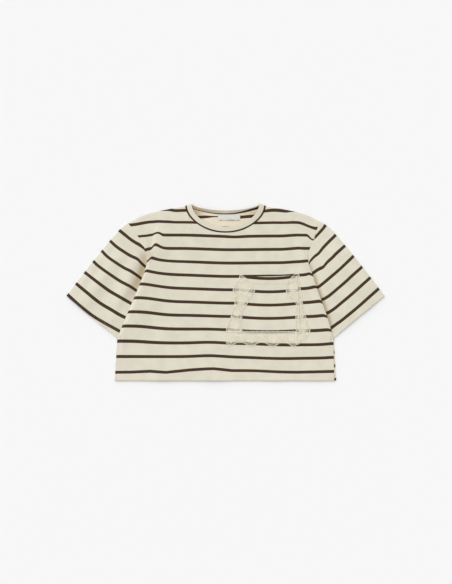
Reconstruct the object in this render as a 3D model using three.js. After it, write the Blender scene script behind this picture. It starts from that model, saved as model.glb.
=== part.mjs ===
// Short boxy crop top with short sleeves, laid flat on a table and seen from above.
// X runs from the wearer's right to the wearer's left, Y from the hem to the neck, Z up.
// All sizes are in millimetres. The back lies on the table and the front lies on the back.

import * as THREE from 'three';

// Cloth
const clothThickness = 1.2;
const seamGap = 0.3;
const bandThickness = 1.6;
const labelThickness = 0.5;
const laceThickness = 1.0;
const panelClearance = 0.4;

// Body, as it lies
const hemY = -208;
const hemHalfWidth = 260;
const underarmY = -108.2;
const frontHemLeftX = 255.5;
const underarmStep = { x: 1, y: underarmY - 2 };

// Neck
const neckPointX = 93.5;
const neckPointY = 200.9;
const neckDrop = 60.7;
const neckFullness = 1.18;
const bandFreeX = 80;
const bandFreeY = 206;
const bandFreeDrop = 54;
const bandFreeFullness = 1.12;
const bandFrontLift = 1.5;
const bandFoldOutwards = { x: 0.42, y: 0.9 };
const backNeckDrop = 17.7;
const backNeckFullness = 2.3;
const backFreeDrop = 14.8;
const backFreeFullness = 1.25;
const backBandRise = 6.2;
const backNeckGap = 0.9;

// Sleeves
const sleeveTip = { x: 373, y: -9.4 };
const sleevePuff = 2.4;
const sleevePuffStart = { from: 0.08, to: 0.4 };
const sleeveWaves = { across: 1.5, along: 0.4, share: 0.25 };
const cuffBow = { right: 0.6, left: -0.8 };
const foldRound = 1.3;
const foldRim = 0.2;
const sleeveUnderarmShare = 0.93;

// Heights of the layers above the table
const frontUnder = clothThickness + seamGap;
const upperTop = frontUnder + clothThickness;
const foldMiddle = upperTop / 2;

// Steps along the pieces
const neckSteps = 20;
const sideRows = 7;
const sleeveSteps = 9;
const sleeveRingSteps = 14;

// Columns of a shoulder, as shares of its width, closer together beside the armhole fold
const shoulderShares = [0, 0.03, 0.065, 0.11, 0.2, 0.35, 0.55, 0.78, 1];

// Line where the front meets a sleeve, from the shoulder down to the underarm.
// tuck is how far the sleeve runs on below the front's folded edge.
const armholeRight = [
  { x: -229.4, y: 161.6, tuck: 0 },
  { x: -211.8, y: 139.8, tuck: 0 },
  { x: -199, y: 118, tuck: 0 },
  { x: -188.7, y: 98.8, tuck: 0 },
  { x: -184.5, y: 76, tuck: 0 },
  { x: -188, y: 55, tuck: 6 },
  { x: -204.7, y: 10.6, tuck: 11 },
  { x: -231.8, y: -52.9, tuck: 11 },
  { x: -254.1, y: underarmY, tuck: 9 },
];
const armholeLeft = [
  { x: 221.7, y: 165.5, tuck: 0 },
  { x: 213, y: 138.5, tuck: 0 },
  { x: 207.3, y: 120.5, tuck: 0 },
  { x: 198, y: 99, tuck: 0 },
  { x: 194, y: 76, tuck: 0 },
  { x: 198.5, y: 57, tuck: 0 },
  { x: 205.9, y: 38, tuck: 3 },
  { x: 214.8, y: 9.4, tuck: 6 },
  { x: 238.1, y: -55.3, tuck: 6 },
  { x: 253.7, y: underarmY, tuck: 6 },
];

// Shoulder line from the neck outwards, the same on both sides but for its end
const shoulder = [
  { x: neckPointX, y: neckPointY },
  { x: 135, y: 194.2 },
  { x: 178, y: 184.7 },
  { x: 206, y: 173.2 },
];

// Folded upper edge of a sleeve, from the shoulder to the tip of the cuff
const sleeveEdge = [
  { x: 244.2, y: 149.6 },
  { x: 261.1, y: 131.2 },
  { x: 308.2, y: 74.6 },
  { x: sleeveTip.x, y: sleeveTip.y },
];

// Soft folds of the front: crest line, height along it, and width of the rounding
const frontFolds = [
  {
    width: 9,
    crest: [
      { x: -156, y: 165, height: 0.4 },
      { x: -161, y: 138, height: 1.8 },
      { x: -166, y: 110, height: 2.6 },
      { x: -177, y: 78, height: 3.1 },
      { x: -183, y: 52, height: 3.2 },
      { x: -199, y: 8.4, height: 3.2 },
      { x: -244.4, y: -100, height: 2.8 },
    ],
  },
  {
    width: 8,
    crest: [
      { x: 189, y: 74, height: 1.2 },
      { x: 202, y: 36.7, height: 2.6 },
      { x: 211, y: 8.1, height: 2.7 },
      { x: 248, y: -101, height: 2.5 },
    ],
  },
  {
    width: 11,
    crest: [
      { x: 176, y: 120, height: 0.5 },
      { x: 184, y: 70, height: 1.3 },
      { x: 182, y: 0, height: 0.5 },
    ],
  },
  {
    width: 22,
    crest: [
      { x: -150, y: hemY, height: 1.1 },
      { x: -170, y: -110, height: 0.4 },
    ],
  },
  {
    width: 20,
    crest: [
      { x: -30, y: hemY, height: 1.2 },
      { x: -42, y: -130, height: 0.3 },
    ],
  },
];

// Patch pocket on the wearer's left breast
const pocketCorners = {
  mouthInner: { x: 36.5, y: 38 },
  mouthOuter: { x: 168.2, y: 40 },
  footInner: { x: 27, y: -97 },
  footOuter: { x: 176, y: -97 },
};
const pocketMouthSag = 2.6;
const pocketMouthLift = 1.2;
const pocketLiftPower = 4;
const pocketColumns = 16;
const pocketRows = 11;

// Lace down both sides of the pocket: the two edges of the strip at each height
const laceInnerEdges = [
  { y: 41, from: 33, to: 39 },
  { y: 24, from: 26, to: 60 },
  { y: 5, from: 18.5, to: 68.5 },
  { y: -10, from: 21, to: 60 },
  { y: -27, from: 22.4, to: 50.6 },
  { y: -43, from: 17, to: 41 },
  { y: -59, from: 13.4, to: 36.5 },
  { y: -75, from: 6, to: 38 },
  { y: -92.8, from: 2, to: 37 },
];
const laceOuterEdges = [
  { y: 43, from: 165, to: 172 },
  { y: 24, from: 147, to: 174 },
  { y: 5, from: 143, to: 175.5 },
  { y: -10, from: 148, to: 178 },
  { y: -27, from: 167, to: 181 },
  { y: -43, from: 165, to: 184 },
  { y: -59, from: 166, to: 188 },
  { y: -75, from: 165, to: 194 },
  { y: -91, from: 166.5, to: 198 },
  { y: -108, from: 166.5, to: 187 },
  { y: -123, from: 166.5, to: 171 },
];
const laceSteps = 22;

// Lace along the foot of the pocket, with scallops on its lower edge
const laceFoot = { fromX: 1, toX: 165.8, topY: -93.3, middleY: -124, scallopDepth: 4.6 };
const scallopCount = 3.4;
const scallopStart = 13;
const laceFootSteps = 34;
const laceCorner = { height: 10, width: 6 };
const laceShares = [0, 1 / 3, 2 / 3, 1];

// Label inside the back neck
const label = { fromX: -17, toX: 34, fromY: 168.7, toY: 182 };

// Colours and roughness
const jerseyColour = 0xe1dac8;
const laceColour = 0xe0d9bf;
const labelColour = 0xe8e6dd;
const clothRoughness = 0.9;
const labelRoughness = 0.7;

function clothMaterial(colour, roughness) {
  return new THREE.MeshStandardMaterial({ color: colour, roughness, metalness: 0 });
}

// Smooth line through the rows of a table, with evenly spread points
function lineThrough(rows) {
  const points = rows.map((row) => new THREE.Vector3(row.x, row.y, 0));
  return new THREE.CatmullRomCurve3(points, false, 'centripetal');
}

// Value of a named column at a share of the way through a table
function columnAt(rows, name, share) {
  const place = THREE.MathUtils.clamp(share, 0, 1) * (rows.length - 1);
  const index = Math.min(Math.floor(place), rows.length - 2);
  return THREE.MathUtils.lerp(rows[index][name], rows[index + 1][name], place - index);
}

// Point on an armhole line at a share from the shoulder, moved towards the body's middle
function armholePoint(rows, share, inward) {
  const line = lineThrough(rows);
  const place = line.getPoint(share);
  const along = line.getTangent(share);
  const side = Math.sign(rows[0].x);
  const towardsBody = new THREE.Vector3(along.y * side, -along.x * side, 0);
  return place.addScaledVector(towardsBody, inward);
}

// Share of an armhole line at a share of the way round the sleeve's end
function sewnPlace(share) {
  return share * sleeveUnderarmShare;
}

// Places down an armhole where the sleeve, the front and the back have their corners
function sewnPlaces() {
  return Array.from({ length: sleeveRingSteps + 1 }, (_, k) => sewnPlace(k / sleeveRingSteps));
}

// Wall between an outer and an inner grid of points, closed along all of its open edges
function wall(outer, inner, wraps) {
  const columns = outer.length;
  const rows = outer[0].length;
  const positions = [];
  for (const grid of [outer, inner]) {
    for (const column of grid) {
      for (const point of column) positions.push(point.x, point.y, point.z);
    }
  }
  const innerStart = columns * rows;
  const at = (i, j, layer) => layer * innerStart + (i % columns) * rows + j;
  const indices = [];
  const quad = (a, b, c, d) => indices.push(a, b, c, a, c, d);
  const lastColumn = wraps ? columns : columns - 1;
  for (let i = 0; i < lastColumn; i += 1) {
    for (let j = 0; j < rows - 1; j += 1) {
      quad(at(i, j, 0), at(i + 1, j, 0), at(i + 1, j + 1, 0), at(i, j + 1, 0));
      quad(at(i, j, 1), at(i, j + 1, 1), at(i + 1, j + 1, 1), at(i + 1, j, 1));
    }
    quad(at(i, 0, 0), at(i, 0, 1), at(i + 1, 0, 1), at(i + 1, 0, 0));
    quad(at(i, rows - 1, 0), at(i + 1, rows - 1, 0), at(i + 1, rows - 1, 1), at(i, rows - 1, 1));
  }
  if (!wraps) {
    for (let j = 0; j < rows - 1; j += 1) {
      quad(at(0, j, 0), at(0, j + 1, 0), at(0, j + 1, 1), at(0, j, 1));
      const end = columns - 1;
      quad(at(end, j, 0), at(end, j, 1), at(end, j + 1, 1), at(end, j + 1, 0));
    }
  }
  return outward(positions, indices);
}

// Geometry whose faces point out, whichever way its grid was walked
function outward(positions, indices) {
  const corner = (index) => new THREE.Vector3().fromArray(positions, index * 3);
  let volume = 0;
  for (let i = 0; i < indices.length; i += 3) {
    const [a, b, c] = [corner(indices[i]), corner(indices[i + 1]), corner(indices[i + 2])];
    volume += a.dot(b.cross(c));
  }
  if (volume < 0) indices.reverse();
  const geometry = new THREE.BufferGeometry();
  geometry.setAttribute('position', new THREE.Float32BufferAttribute(positions, 3));
  geometry.setIndex(indices);
  geometry.computeVertexNormals();
  return geometry;
}

function piece(name, geometry, material) {
  const mesh = new THREE.Mesh(geometry, material);
  mesh.name = name;
  return mesh;
}

// Height that one soft fold adds at a place: its crest height, rounded off with distance
function foldHeight(fold, x, y) {
  const place = new THREE.Vector3(x, y, 0);
  const nearest = new THREE.Vector3();
  let height = 0;
  let closest = Infinity;
  for (let i = 0; i + 1 < fold.crest.length; i += 1) {
    const [a, b] = [fold.crest[i], fold.crest[i + 1]];
    const line = new THREE.Line3(new THREE.Vector3(a.x, a.y, 0), new THREE.Vector3(b.x, b.y, 0));
    const share = line.closestPointToPointParameter(place, true);
    line.at(share, nearest);
    const distance = nearest.distanceTo(place);
    if (distance < closest) {
      closest = distance;
      height = THREE.MathUtils.lerp(a.height, b.height, share);
    }
  }
  return height * Math.exp(-0.5 * (closest / fold.width) ** 2);
}

// Top of the front panel above the table
function frontTop(x, y) {
  return upperTop + frontFolds.reduce((sum, fold) => sum + foldHeight(fold, x, y), 0);
}

// Neck seam of the front, from the wearer's right (share 0) to the left (share 1)
function neckSeam(share, outwards) {
  const turn = Math.PI * share;
  return new THREE.Vector3(
    -(neckPointX + outwards) * Math.cos(turn),
    neckPointY - (neckDrop + outwards) * Math.sin(turn) ** neckFullness,
    0,
  );
}

// Neck seam of the back, in the same direction
function backNeckSeam(share, outwards) {
  const turn = Math.PI * share;
  return new THREE.Vector3(
    -neckPointX * Math.cos(turn),
    neckPointY - outwards - backNeckDrop * Math.sin(turn) ** backNeckFullness,
    0,
  );
}

// Shoulder line of one side from its armhole (share 0) to the neck point (share 1)
function shoulderPoint(armhole, share) {
  const side = Math.sign(armhole[0].x);
  const rows = shoulder.map((row) => ({ x: side * row.x, y: row.y })).reverse();
  return lineThrough([armhole[0], ...rows]).getPointAt(share);
}

// Outline of the front: columns across and rows up it, blended between its four edges
function frontGrid() {
  const top = [];
  const foot = [];
  const neckFootX = hemHalfWidth * (neckPointX / Math.abs(armholeRight[0].x));
  const footPoint = (x) => new THREE.Vector3(x, hemY, 0);
  for (const share of shoulderShares.slice(0, -1)) {
    top.push(shoulderPoint(armholeRight, share));
    foot.push(footPoint(THREE.MathUtils.lerp(-hemHalfWidth, -neckFootX, share)));
  }
  for (let i = 0; i <= neckSteps; i += 1) {
    const share = i / neckSteps;
    top.push(neckSeam(share, seamGap));
    foot.push(footPoint(-neckFootX * Math.cos(Math.PI * share)));
  }
  for (const share of shoulderShares.slice(0, -1).reverse()) {
    top.push(shoulderPoint(armholeLeft, share));
    foot.push(footPoint(THREE.MathUtils.lerp(frontHemLeftX, neckFootX, share)));
  }
  top[0] = armholePoint(armholeRight, 0, seamGap);
  top[top.length - 1] = armholePoint(armholeLeft, 0, seamGap);
  const rightEdge = sideEdge(armholeRight, foot[0]);
  const leftEdge = sideEdge(armholeLeft, foot[foot.length - 1]);
  return blend(foot, top, rightEdge, leftEdge);
}

// Edge of the front from the hem up the side and round the armhole to the shoulder
function sideEdge(armhole, hem) {
  const edge = [];
  const underarm = armholePoint(armhole, 1, seamGap);
  for (let j = 0; j < sideRows; j += 1) edge.push(hem.clone().lerp(underarm, j / sideRows));
  for (const place of [...sewnPlaces(), 1].reverse()) {
    edge.push(armholePoint(armhole, place, seamGap));
  }
  return edge;
}

// Grid of points blended between a lower, an upper, a right and a left edge
function blend(lower, upper, first, last) {
  const columns = lower.length - 1;
  const rows = first.length - 1;
  const lengths = first.map((point) => point.y - first[0].y);
  return lower.map((lowPoint, i) => {
    const across = lowPoint.distanceTo(lower[0]) / lower[columns].distanceTo(lower[0]);
    return first.map((firstPoint, j) => {
      const up = lengths[j] / lengths[rows];
      const point = new THREE.Vector3();
      point.addScaledVector(lowPoint, 1 - up).addScaledVector(upper[i], up);
      point.addScaledVector(firstPoint, 1 - across).addScaledVector(last[j], across);
      point.addScaledVector(lower[0], -(1 - across) * (1 - up));
      point.addScaledVector(lower[columns], -across * (1 - up));
      point.addScaledVector(upper[0], -(1 - across) * up);
      point.addScaledVector(upper[columns], -across * up);
      return point;
    });
  });
}

// Two grids, top and underside, of a layer that follows the front at a height above it
function layerOnFront(plan, height, thickness) {
  const at = (point, drop) => {
    const top = frontTop(point.x, point.y) + height(point);
    return new THREE.Vector3(point.x, point.y, top - drop);
  };
  const top = plan.map((column) => column.map((point) => at(point, 0)));
  const under = plan.map((column) => column.map((point) => at(point, thickness)));
  return [top, under];
}

function makeFront() {
  const [top, under] = layerOnFront(frontGrid(), () => 0, clothThickness);
  return piece('front', wall(top, under, false), clothMaterial(jerseyColour, clothRoughness));
}

// The back shows its side below the left sleeve, so it is a little wider there than the front
function makeBack() {
  const outline = [new THREE.Vector2(-hemHalfWidth, hemY), new THREE.Vector2(hemHalfWidth, hemY)];
  const addArmhole = (rows, places) => {
    for (const place of places) {
      const inward = columnAt(rows, 'tuck', place) + seamGap;
      const point = armholePoint(rows, place, inward);
      outline.push(new THREE.Vector2(point.x, point.y));
    }
  };
  outline.push(new THREE.Vector2(armholeLeft.at(-1).x + underarmStep.x, underarmStep.y));
  addArmhole(armholeLeft, sewnPlaces().reverse());
  for (const share of shoulderShares.slice(2)) {
    const point = shoulderPoint(armholeLeft, share);
    outline.push(new THREE.Vector2(point.x, point.y));
  }
  for (let i = neckSteps - 1; i > 0; i -= 1) {
    const point = backNeckSeam(i / neckSteps, backNeckGap);
    outline.push(new THREE.Vector2(point.x, point.y));
  }
  for (const share of shoulderShares.slice(2).reverse()) {
    const point = shoulderPoint(armholeRight, share);
    outline.push(new THREE.Vector2(point.x, point.y));
  }
  addArmhole(armholeRight, sewnPlaces());
  outline.push(new THREE.Vector2(armholeRight.at(-1).x - underarmStep.x, underarmStep.y));
  const shape = new THREE.Shape(outline);
  const geometry = new THREE.ExtrudeGeometry(shape, { depth: clothThickness, bevelEnabled: false });
  return piece('back', geometry, clothMaterial(jerseyColour, clothRoughness));
}

// Flat tube from the armhole to the cuff, folded along its upper edge and at the underarm
function makeSleeve(name, armhole) {
  const side = Math.sign(armhole[0].x);
  const edgeRows = sleeveEdge.map((row) => ({ x: side * row.x, y: row.y }));
  const upperEdge = lineThrough([armhole[0], ...edgeRows]);
  const cuffTip = upperEdge.getPoint(1);
  const cuffFoot = armholePoint(armhole, 1, 0);
  const armholeEdge = (share) => {
    const place = sewnPlace(share);
    return armholePoint(armhole, place, columnAt(armhole, 'tuck', place));
  };
  const shoulderEnd = armholeEdge(0);
  const underarm = armholeEdge(1);
  const cuffAlong = cuffFoot.clone().sub(cuffTip).normalize();
  const cuffOut = new THREE.Vector3(-cuffAlong.y * side, cuffAlong.x * side, 0);
  const cuffEdge = (share) => {
    const bow = (side < 0 ? cuffBow.right : cuffBow.left) * Math.sin(Math.PI * share);
    return cuffTip.clone().lerp(cuffFoot, share).addScaledVector(cuffOut, bow);
  };
  const onSleeve = (along, across) => {
    const point = new THREE.Vector3();
    point.addScaledVector(armholeEdge(across), 1 - along);
    point.addScaledVector(cuffEdge(across), along);
    point.addScaledVector(upperEdge.getPointAt(along), 1 - across);
    point.addScaledVector(underarm.clone().lerp(cuffFoot, along), across);
    point.addScaledVector(shoulderEnd, -(1 - along) * (1 - across));
    point.addScaledVector(cuffTip, -along * (1 - across));
    point.addScaledVector(underarm, -(1 - along) * across);
    point.addScaledVector(cuffFoot, -along * across);
    return point;
  };
  const puffAt = (along, across) => {
    const nearBody = THREE.MathUtils.smoothstep(along, sleevePuffStart.from, sleevePuffStart.to);
    const turns = sleeveWaves.across * across + sleeveWaves.along * along;
    const waves = 1 - sleeveWaves.share * (1 - Math.cos(2 * Math.PI * turns));
    return sleevePuff * nearBody * Math.sin(Math.PI * across) * waves;
  };
  const outer = [];
  const inner = [];
  for (const { share, layer, fold } of placesRound(sleeveRingSteps)) {
    const outerLine = [];
    const innerLine = [];
    for (let j = 0; j <= sleeveSteps; j += 1) {
      const along = j / sleeveSteps;
      const width = onSleeve(along, 0).distanceTo(onSleeve(along, 1));
      const inset = layer === 0 ? 0 : foldRound;
      const drawnIn = (distance) => Math.abs(share - distance / width);
      const outerShare = fold ? drawnIn(inset) : share;
      const innerShare = fold ? drawnIn(inset + clothThickness) : share;
      const puff = layer > 0 && !fold ? puffAt(along, share) : 0;
      const rim = fold ? foldRim : 0;
      const outerHeights = { '-1': rim, 0: foldMiddle, 1: upperTop + puff - rim };
      const innerHeights = { '-1': clothThickness, 0: foldMiddle, 1: frontUnder + puff };
      outerLine.push(onSleeve(along, outerShare).setZ(outerHeights[layer]));
      innerLine.push(onSleeve(along, innerShare).setZ(innerHeights[layer]));
    }
    outer.push(outerLine);
    inner.push(innerLine);
  }
  return piece(name, wall(outer, inner, true), clothMaterial(jerseyColour, clothRoughness));
}

// Places round a flat tube: over the upper layer, round one fold, back below, round the other.
// layer is 1 above, 0 at the middle of a fold and -1 below.
function placesRound(steps) {
  const across = Array.from({ length: steps - 1 }, (_, k) => (k + 1) / steps);
  return [
    { share: 0, layer: 0, fold: true },
    { share: 0, layer: 1, fold: true },
    ...across.map((share) => ({ share, layer: 1, fold: false })),
    { share: 1, layer: 1, fold: true },
    { share: 1, layer: 0, fold: true },
    { share: 1, layer: -1, fold: true },
    ...across.reverse().map((share) => ({ share, layer: -1, fold: false })),
    { share: 0, layer: -1, fold: true },
  ];
}

// Folded strip sewn round the neck: its front half lies on the back half at the shoulder points
function makeNeckband() {
  const lowerZ = bandThickness / 2;
  const upperZ = lowerZ + bandThickness + seamGap;
  const foldRadius = (upperZ - lowerZ) / 2;
  const stations = [];
  for (let i = 0; i <= neckSteps; i += 1) {
    const share = i / neckSteps;
    const turn = Math.PI * share;
    const lift = Math.sin(turn);
    const seam = neckSeam(share, 0).setZ(upperZ);
    const free = new THREE.Vector3(
      -bandFreeX * Math.cos(turn),
      bandFreeY - bandFreeDrop * lift ** bandFreeFullness,
      upperZ + bandFrontLift * lift ** 2,
    );
    stations.push([seam, free]);
  }
  addFold(stations, 1, foldRadius, lowerZ);
  for (let i = neckSteps; i >= 0; i -= 1) {
    const share = i / neckSteps;
    const turn = Math.PI * share;
    const seam = backNeckSeam(share, 0).setZ(lowerZ);
    const free = new THREE.Vector3(
      -bandFreeX * Math.cos(turn),
      bandFreeY - backFreeDrop * Math.sin(turn) ** backFreeFullness,
      lowerZ + backBandRise * Math.sin(turn) ** 3,
    );
    stations.push([seam, free]);
  }
  addFold(stations, -1, foldRadius, lowerZ);
  const count = stations.length;
  const outer = [];
  const inner = [];
  stations.forEach(([seam, free], i) => {
    const before = stations[(i + count - 1) % count];
    const after = stations[(i + 1) % count];
    const across = free.clone().sub(seam);
    const along = after[0].clone().add(after[1]).sub(before[0]).sub(before[1]);
    const normal = along.cross(across).normalize().multiplyScalar(bandThickness / 2);
    const middle = seam.clone().lerp(free, 0.5);
    const line = [seam, middle, free];
    outer.push(line.map((point) => point.clone().add(normal)));
    inner.push(line.map((point) => point.clone().sub(normal)));
  });
  return piece('neckband', wall(outer, inner, true), clothMaterial(jerseyColour, clothRoughness));
}

// Half turn of the band round a shoulder point, from one layer to the other
function addFold(stations, side, radius, lowerZ) {
  const outwards = new THREE.Vector3(side * bandFoldOutwards.x, bandFoldOutwards.y, 0);
  const turns = [45, 0, -45].map((angle) => THREE.MathUtils.degToRad(angle * side));
  for (const turn of turns) {
    const place = (x, y) => {
      const point = new THREE.Vector3(side * x, y, lowerZ + radius * (1 + Math.sin(turn)));
      return point.addScaledVector(outwards, radius * Math.cos(turn));
    };
    stations.push([place(neckPointX, neckPointY), place(bandFreeX, bandFreeY)]);
  }
}

function makeLabel() {
  const shape = new THREE.Shape([
    new THREE.Vector2(label.fromX, label.fromY),
    new THREE.Vector2(label.toX, label.fromY),
    new THREE.Vector2(label.toX, label.toY),
    new THREE.Vector2(label.fromX, label.toY),
  ]);
  const geometry = new THREE.ExtrudeGeometry(shape, { depth: labelThickness, bevelEnabled: false });
  const mesh = piece('label', geometry, clothMaterial(labelColour, labelRoughness));
  mesh.position.z = clothThickness + seamGap;
  return mesh;
}

// Patch pocket sewn on the front, with its open mouth sagging a little
function makePocket() {
  const { mouthInner, mouthOuter, footInner, footOuter } = pocketCorners;
  const plan = [];
  for (let i = 0; i <= pocketColumns; i += 1) {
    const across = i / pocketColumns;
    const column = [];
    for (let j = 0; j <= pocketRows; j += 1) {
      const up = j / pocketRows;
      const x = THREE.MathUtils.lerp(
        THREE.MathUtils.lerp(footInner.x, footOuter.x, across),
        THREE.MathUtils.lerp(mouthInner.x, mouthOuter.x, across),
        up,
      );
      const mouthY = THREE.MathUtils.lerp(mouthInner.y, mouthOuter.y, across);
      const sag = pocketMouthSag * Math.sin(Math.PI * across);
      const y = THREE.MathUtils.lerp(footInner.y, mouthY - sag, up);
      const bulge = (Math.sin(Math.PI * across) * up) ** pocketLiftPower;
      const point = new THREE.Vector3(x, y, 0);
      point.lift = pocketMouthLift * bulge;
      column.push(point);
    }
    plan.push(column);
  }
  const height = (point) => panelClearance + clothThickness + point.lift;
  const [top, under] = layerOnFront(plan, height, clothThickness);
  return piece('pocket', wall(top, under, false), clothMaterial(jerseyColour, clothRoughness));
}

// The lace lies over the pocket's edges, one clearance above the pocket
function laceOnPocket(name, plan) {
  const rise = 2 * panelClearance + clothThickness + laceThickness;
  const [top, under] = layerOnFront(plan, () => rise, laceThickness);
  return piece(name, wall(top, under, false), clothMaterial(laceColour, clothRoughness));
}

// Strip of lace down one side of the pocket
function makeSideLace(name, rows) {
  const plan = [];
  for (let i = 0; i <= laceSteps; i += 1) {
    const share = i / laceSteps;
    const y = columnAt(rows, 'y', share);
    const from = columnAt(rows, 'from', share);
    const to = columnAt(rows, 'to', share);
    const strip = laceShares.map((part) => THREE.MathUtils.lerp(from, to, part));
    plan.push(strip.map((x) => new THREE.Vector3(x, y, 0)));
  }
  return laceOnPocket(name, plan);
}

// Strip of lace along the foot of the pocket, scalloped below
function makeFootLace() {
  const plan = [];
  for (let i = 0; i <= laceFootSteps; i += 1) {
    const share = i / laceFootSteps;
    const x = THREE.MathUtils.lerp(laceFoot.fromX, laceFoot.toX, share);
    const period = (laceFoot.toX - laceFoot.fromX) / scallopCount;
    const turn = (2 * Math.PI * (x - scallopStart)) / period;
    const footY = laceFoot.middleY - laceFoot.scallopDepth * Math.cos(turn);
    const cornerLift = laceCorner.height * Math.exp(-(x - laceFoot.fromX) / laceCorner.width);
    plan.push(laceShares.map((part) => {
      const y = THREE.MathUtils.lerp(footY + cornerLift, laceFoot.topY, part);
      return new THREE.Vector3(x, y, 0);
    }));
  }
  return laceOnPocket('lace_foot', plan);
}

const cropTop = new THREE.Group();
cropTop.add(
  makeBack(),
  makeFront(),
  makeSleeve('sleeve_right', armholeRight),
  makeSleeve('sleeve_left', armholeLeft),
  makeNeckband(),
  makeLabel(),
  makePocket(),
  makeSideLace('lace_inner', laceInnerEdges),
  makeSideLace('lace_outer', laceOuterEdges),
  makeFootLace(),
);

export default cropTop;
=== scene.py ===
# Short boxy crop top in striped jersey, laid flat on a pale table and seen from straight above.
# X runs from the wearer's right to the wearer's left, Y from the hem to the neck, Z up.

import bpy
import numpy as np
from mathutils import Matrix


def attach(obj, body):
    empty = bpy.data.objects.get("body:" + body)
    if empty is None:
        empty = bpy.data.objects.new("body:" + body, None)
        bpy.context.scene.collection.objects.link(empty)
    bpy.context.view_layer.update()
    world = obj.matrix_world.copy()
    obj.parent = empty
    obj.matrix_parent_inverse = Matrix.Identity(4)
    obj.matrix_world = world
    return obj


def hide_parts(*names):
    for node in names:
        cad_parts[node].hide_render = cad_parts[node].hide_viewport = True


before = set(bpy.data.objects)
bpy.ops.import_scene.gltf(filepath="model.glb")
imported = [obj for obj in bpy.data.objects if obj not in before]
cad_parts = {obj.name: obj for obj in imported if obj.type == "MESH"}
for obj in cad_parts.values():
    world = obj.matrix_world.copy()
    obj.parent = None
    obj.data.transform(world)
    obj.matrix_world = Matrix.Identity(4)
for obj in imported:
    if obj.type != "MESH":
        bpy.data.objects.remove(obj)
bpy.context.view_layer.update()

# Table, light and camera
# A plain pale table under an even white sky, with soft window light from the upper left.
# The camera looks straight down, far enough away that nothing is drawn out at the edges.
mm = 0.001
table_width = 9.0
table_drop = 0.3 * mm
table_white = (0.93, 0.93, 0.93, 1)
picture_height = 584
picture_scale = 2.353 * mm
camera_distance = 3.2
camera_sensor = 36.0
camera_side = 1.2 * mm
sky_strength = 0.6
lamp_strength = 2.0
lamp_breadth = 70
lamp_tilt = (-40, -34, 0)

table_mesh = bpy.data.meshes.new("table")
half_table = table_width / 2
table_corners = [(-half_table, -half_table), (half_table, -half_table),
                 (half_table, half_table), (-half_table, half_table)]
table_mesh.from_pydata([(x, y, -table_drop) for x, y in table_corners], [], [(0, 1, 2, 3)])
table = bpy.data.objects.new("table", table_mesh)
bpy.context.collection.objects.link(table)

table_paint = bpy.data.materials.new("table_paint")
table_paint.use_nodes = True
table_shader = table_paint.node_tree.nodes["Principled BSDF"]
table_shader.inputs["Base Color"].default_value = table_white
table_shader.inputs["Roughness"].default_value = 0.9
table_shader.inputs["Specular IOR Level"].default_value = 0.1
table_mesh.materials.append(table_paint)

sky = bpy.data.worlds.new("sky")
sky.use_nodes = True
sky.node_tree.nodes["Background"].inputs["Color"].default_value = (1, 1, 1, 1)
sky.node_tree.nodes["Background"].inputs["Strength"].default_value = sky_strength
bpy.context.scene.world = sky

lamp = bpy.data.lights.new("window_light", "SUN")
lamp.energy = lamp_strength
lamp.angle = np.radians(lamp_breadth)
lamp_holder = bpy.data.objects.new("window_light", lamp)
lamp_holder.rotation_euler = np.radians(lamp_tilt)
bpy.context.collection.objects.link(lamp_holder)

camera = bpy.data.cameras.new("camera")
camera.sensor_width = camera_sensor
camera.lens = camera_sensor * camera_distance / (picture_height * picture_scale)
camera_holder = bpy.data.objects.new("camera", camera)
camera_holder.location = (camera_side, 0, camera_distance)
bpy.context.collection.objects.link(camera_holder)
bpy.context.scene.camera = camera_holder
bpy.context.scene.view_settings.view_transform = "Standard"

# Back
# One panel of cream cotton jersey with woven-in brown stripes, cut with a shallow neck.
# It lies face down on the table, so its inside shows through the neck opening.
hem_y = -208 * mm
hem_half_width = 260 * mm
underarm_y = -108.2 * mm
shoulder_reach = 229.4 * mm
cloth_thickness = 1.0 * mm
back_height = 0.56 * mm
seam_gap = 0.3 * mm
neck_point = (93.5 * mm, 200.9 * mm)
back_neck_drop = 17.7 * mm
back_neck_fullness = 2.3
back_neck_gap = 0.9 * mm
# Share of each armhole line, from the shoulder down, along which the sleeve is sewn on
sewn_share = 0.93

# Stripes of the back: where the first one lies and how far apart they are. The first one shows
# inside the neck, where it is lifted at some places, sags below the label and is thin at one side.
back_stripe_start = 177
back_stripe_pitch = 31.87
back_stripe_lift = {"x": [-64, -28, 0, 36, 66], "lift": [-1.0, 0.4, 0, -1, 1.6], "from": 150, "run": 10}
back_stripe_sag = [(0, 148, 19, 8, 7)]
back_stripe_thin = {"x": -20, "wide": 11, "by": 1.6, "within": 0.35}
# Painted shade inside the neck and below the label's lower edge: x, y, how wide and high each spot is in
# millimetres, and how deep
back_painted_shade = [(-70, 187, 13, 8, 0.85), (68, 185, 14, 8, 0.6), (22, 166, 13, 3.5, 0.15)]

# Line where the front meets a sleeve, from the shoulder down: x, y and how far the sleeve
# runs on below the front's folded edge, in millimetres.
armhole_right = [
    (-229.4, 161.6, 0), (-211.8, 139.8, 0), (-199, 118, 0), (-188.7, 98.8, 0), (-184.5, 76, 0),
    (-188, 55, 6), (-204.7, 10.6, 11), (-231.8, -52.9, 11), (-254.1, -108.2, 9),
]
armhole_left = [
    (221.7, 165.5, 0), (213, 138.5, 0), (207.3, 120.5, 0), (198, 99, 0), (194, 76, 0),
    (198.5, 57, 0), (205.9, 38, 3), (214.8, 9.4, 6), (238.1, -55.3, 6), (253.7, -108.2, 6),
]
# Shoulder line from the neck outwards, in millimetres
shoulder_line = [(93.5, 200.9), (135, 194.2), (178, 184.7), (206, 173.2)]


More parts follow.
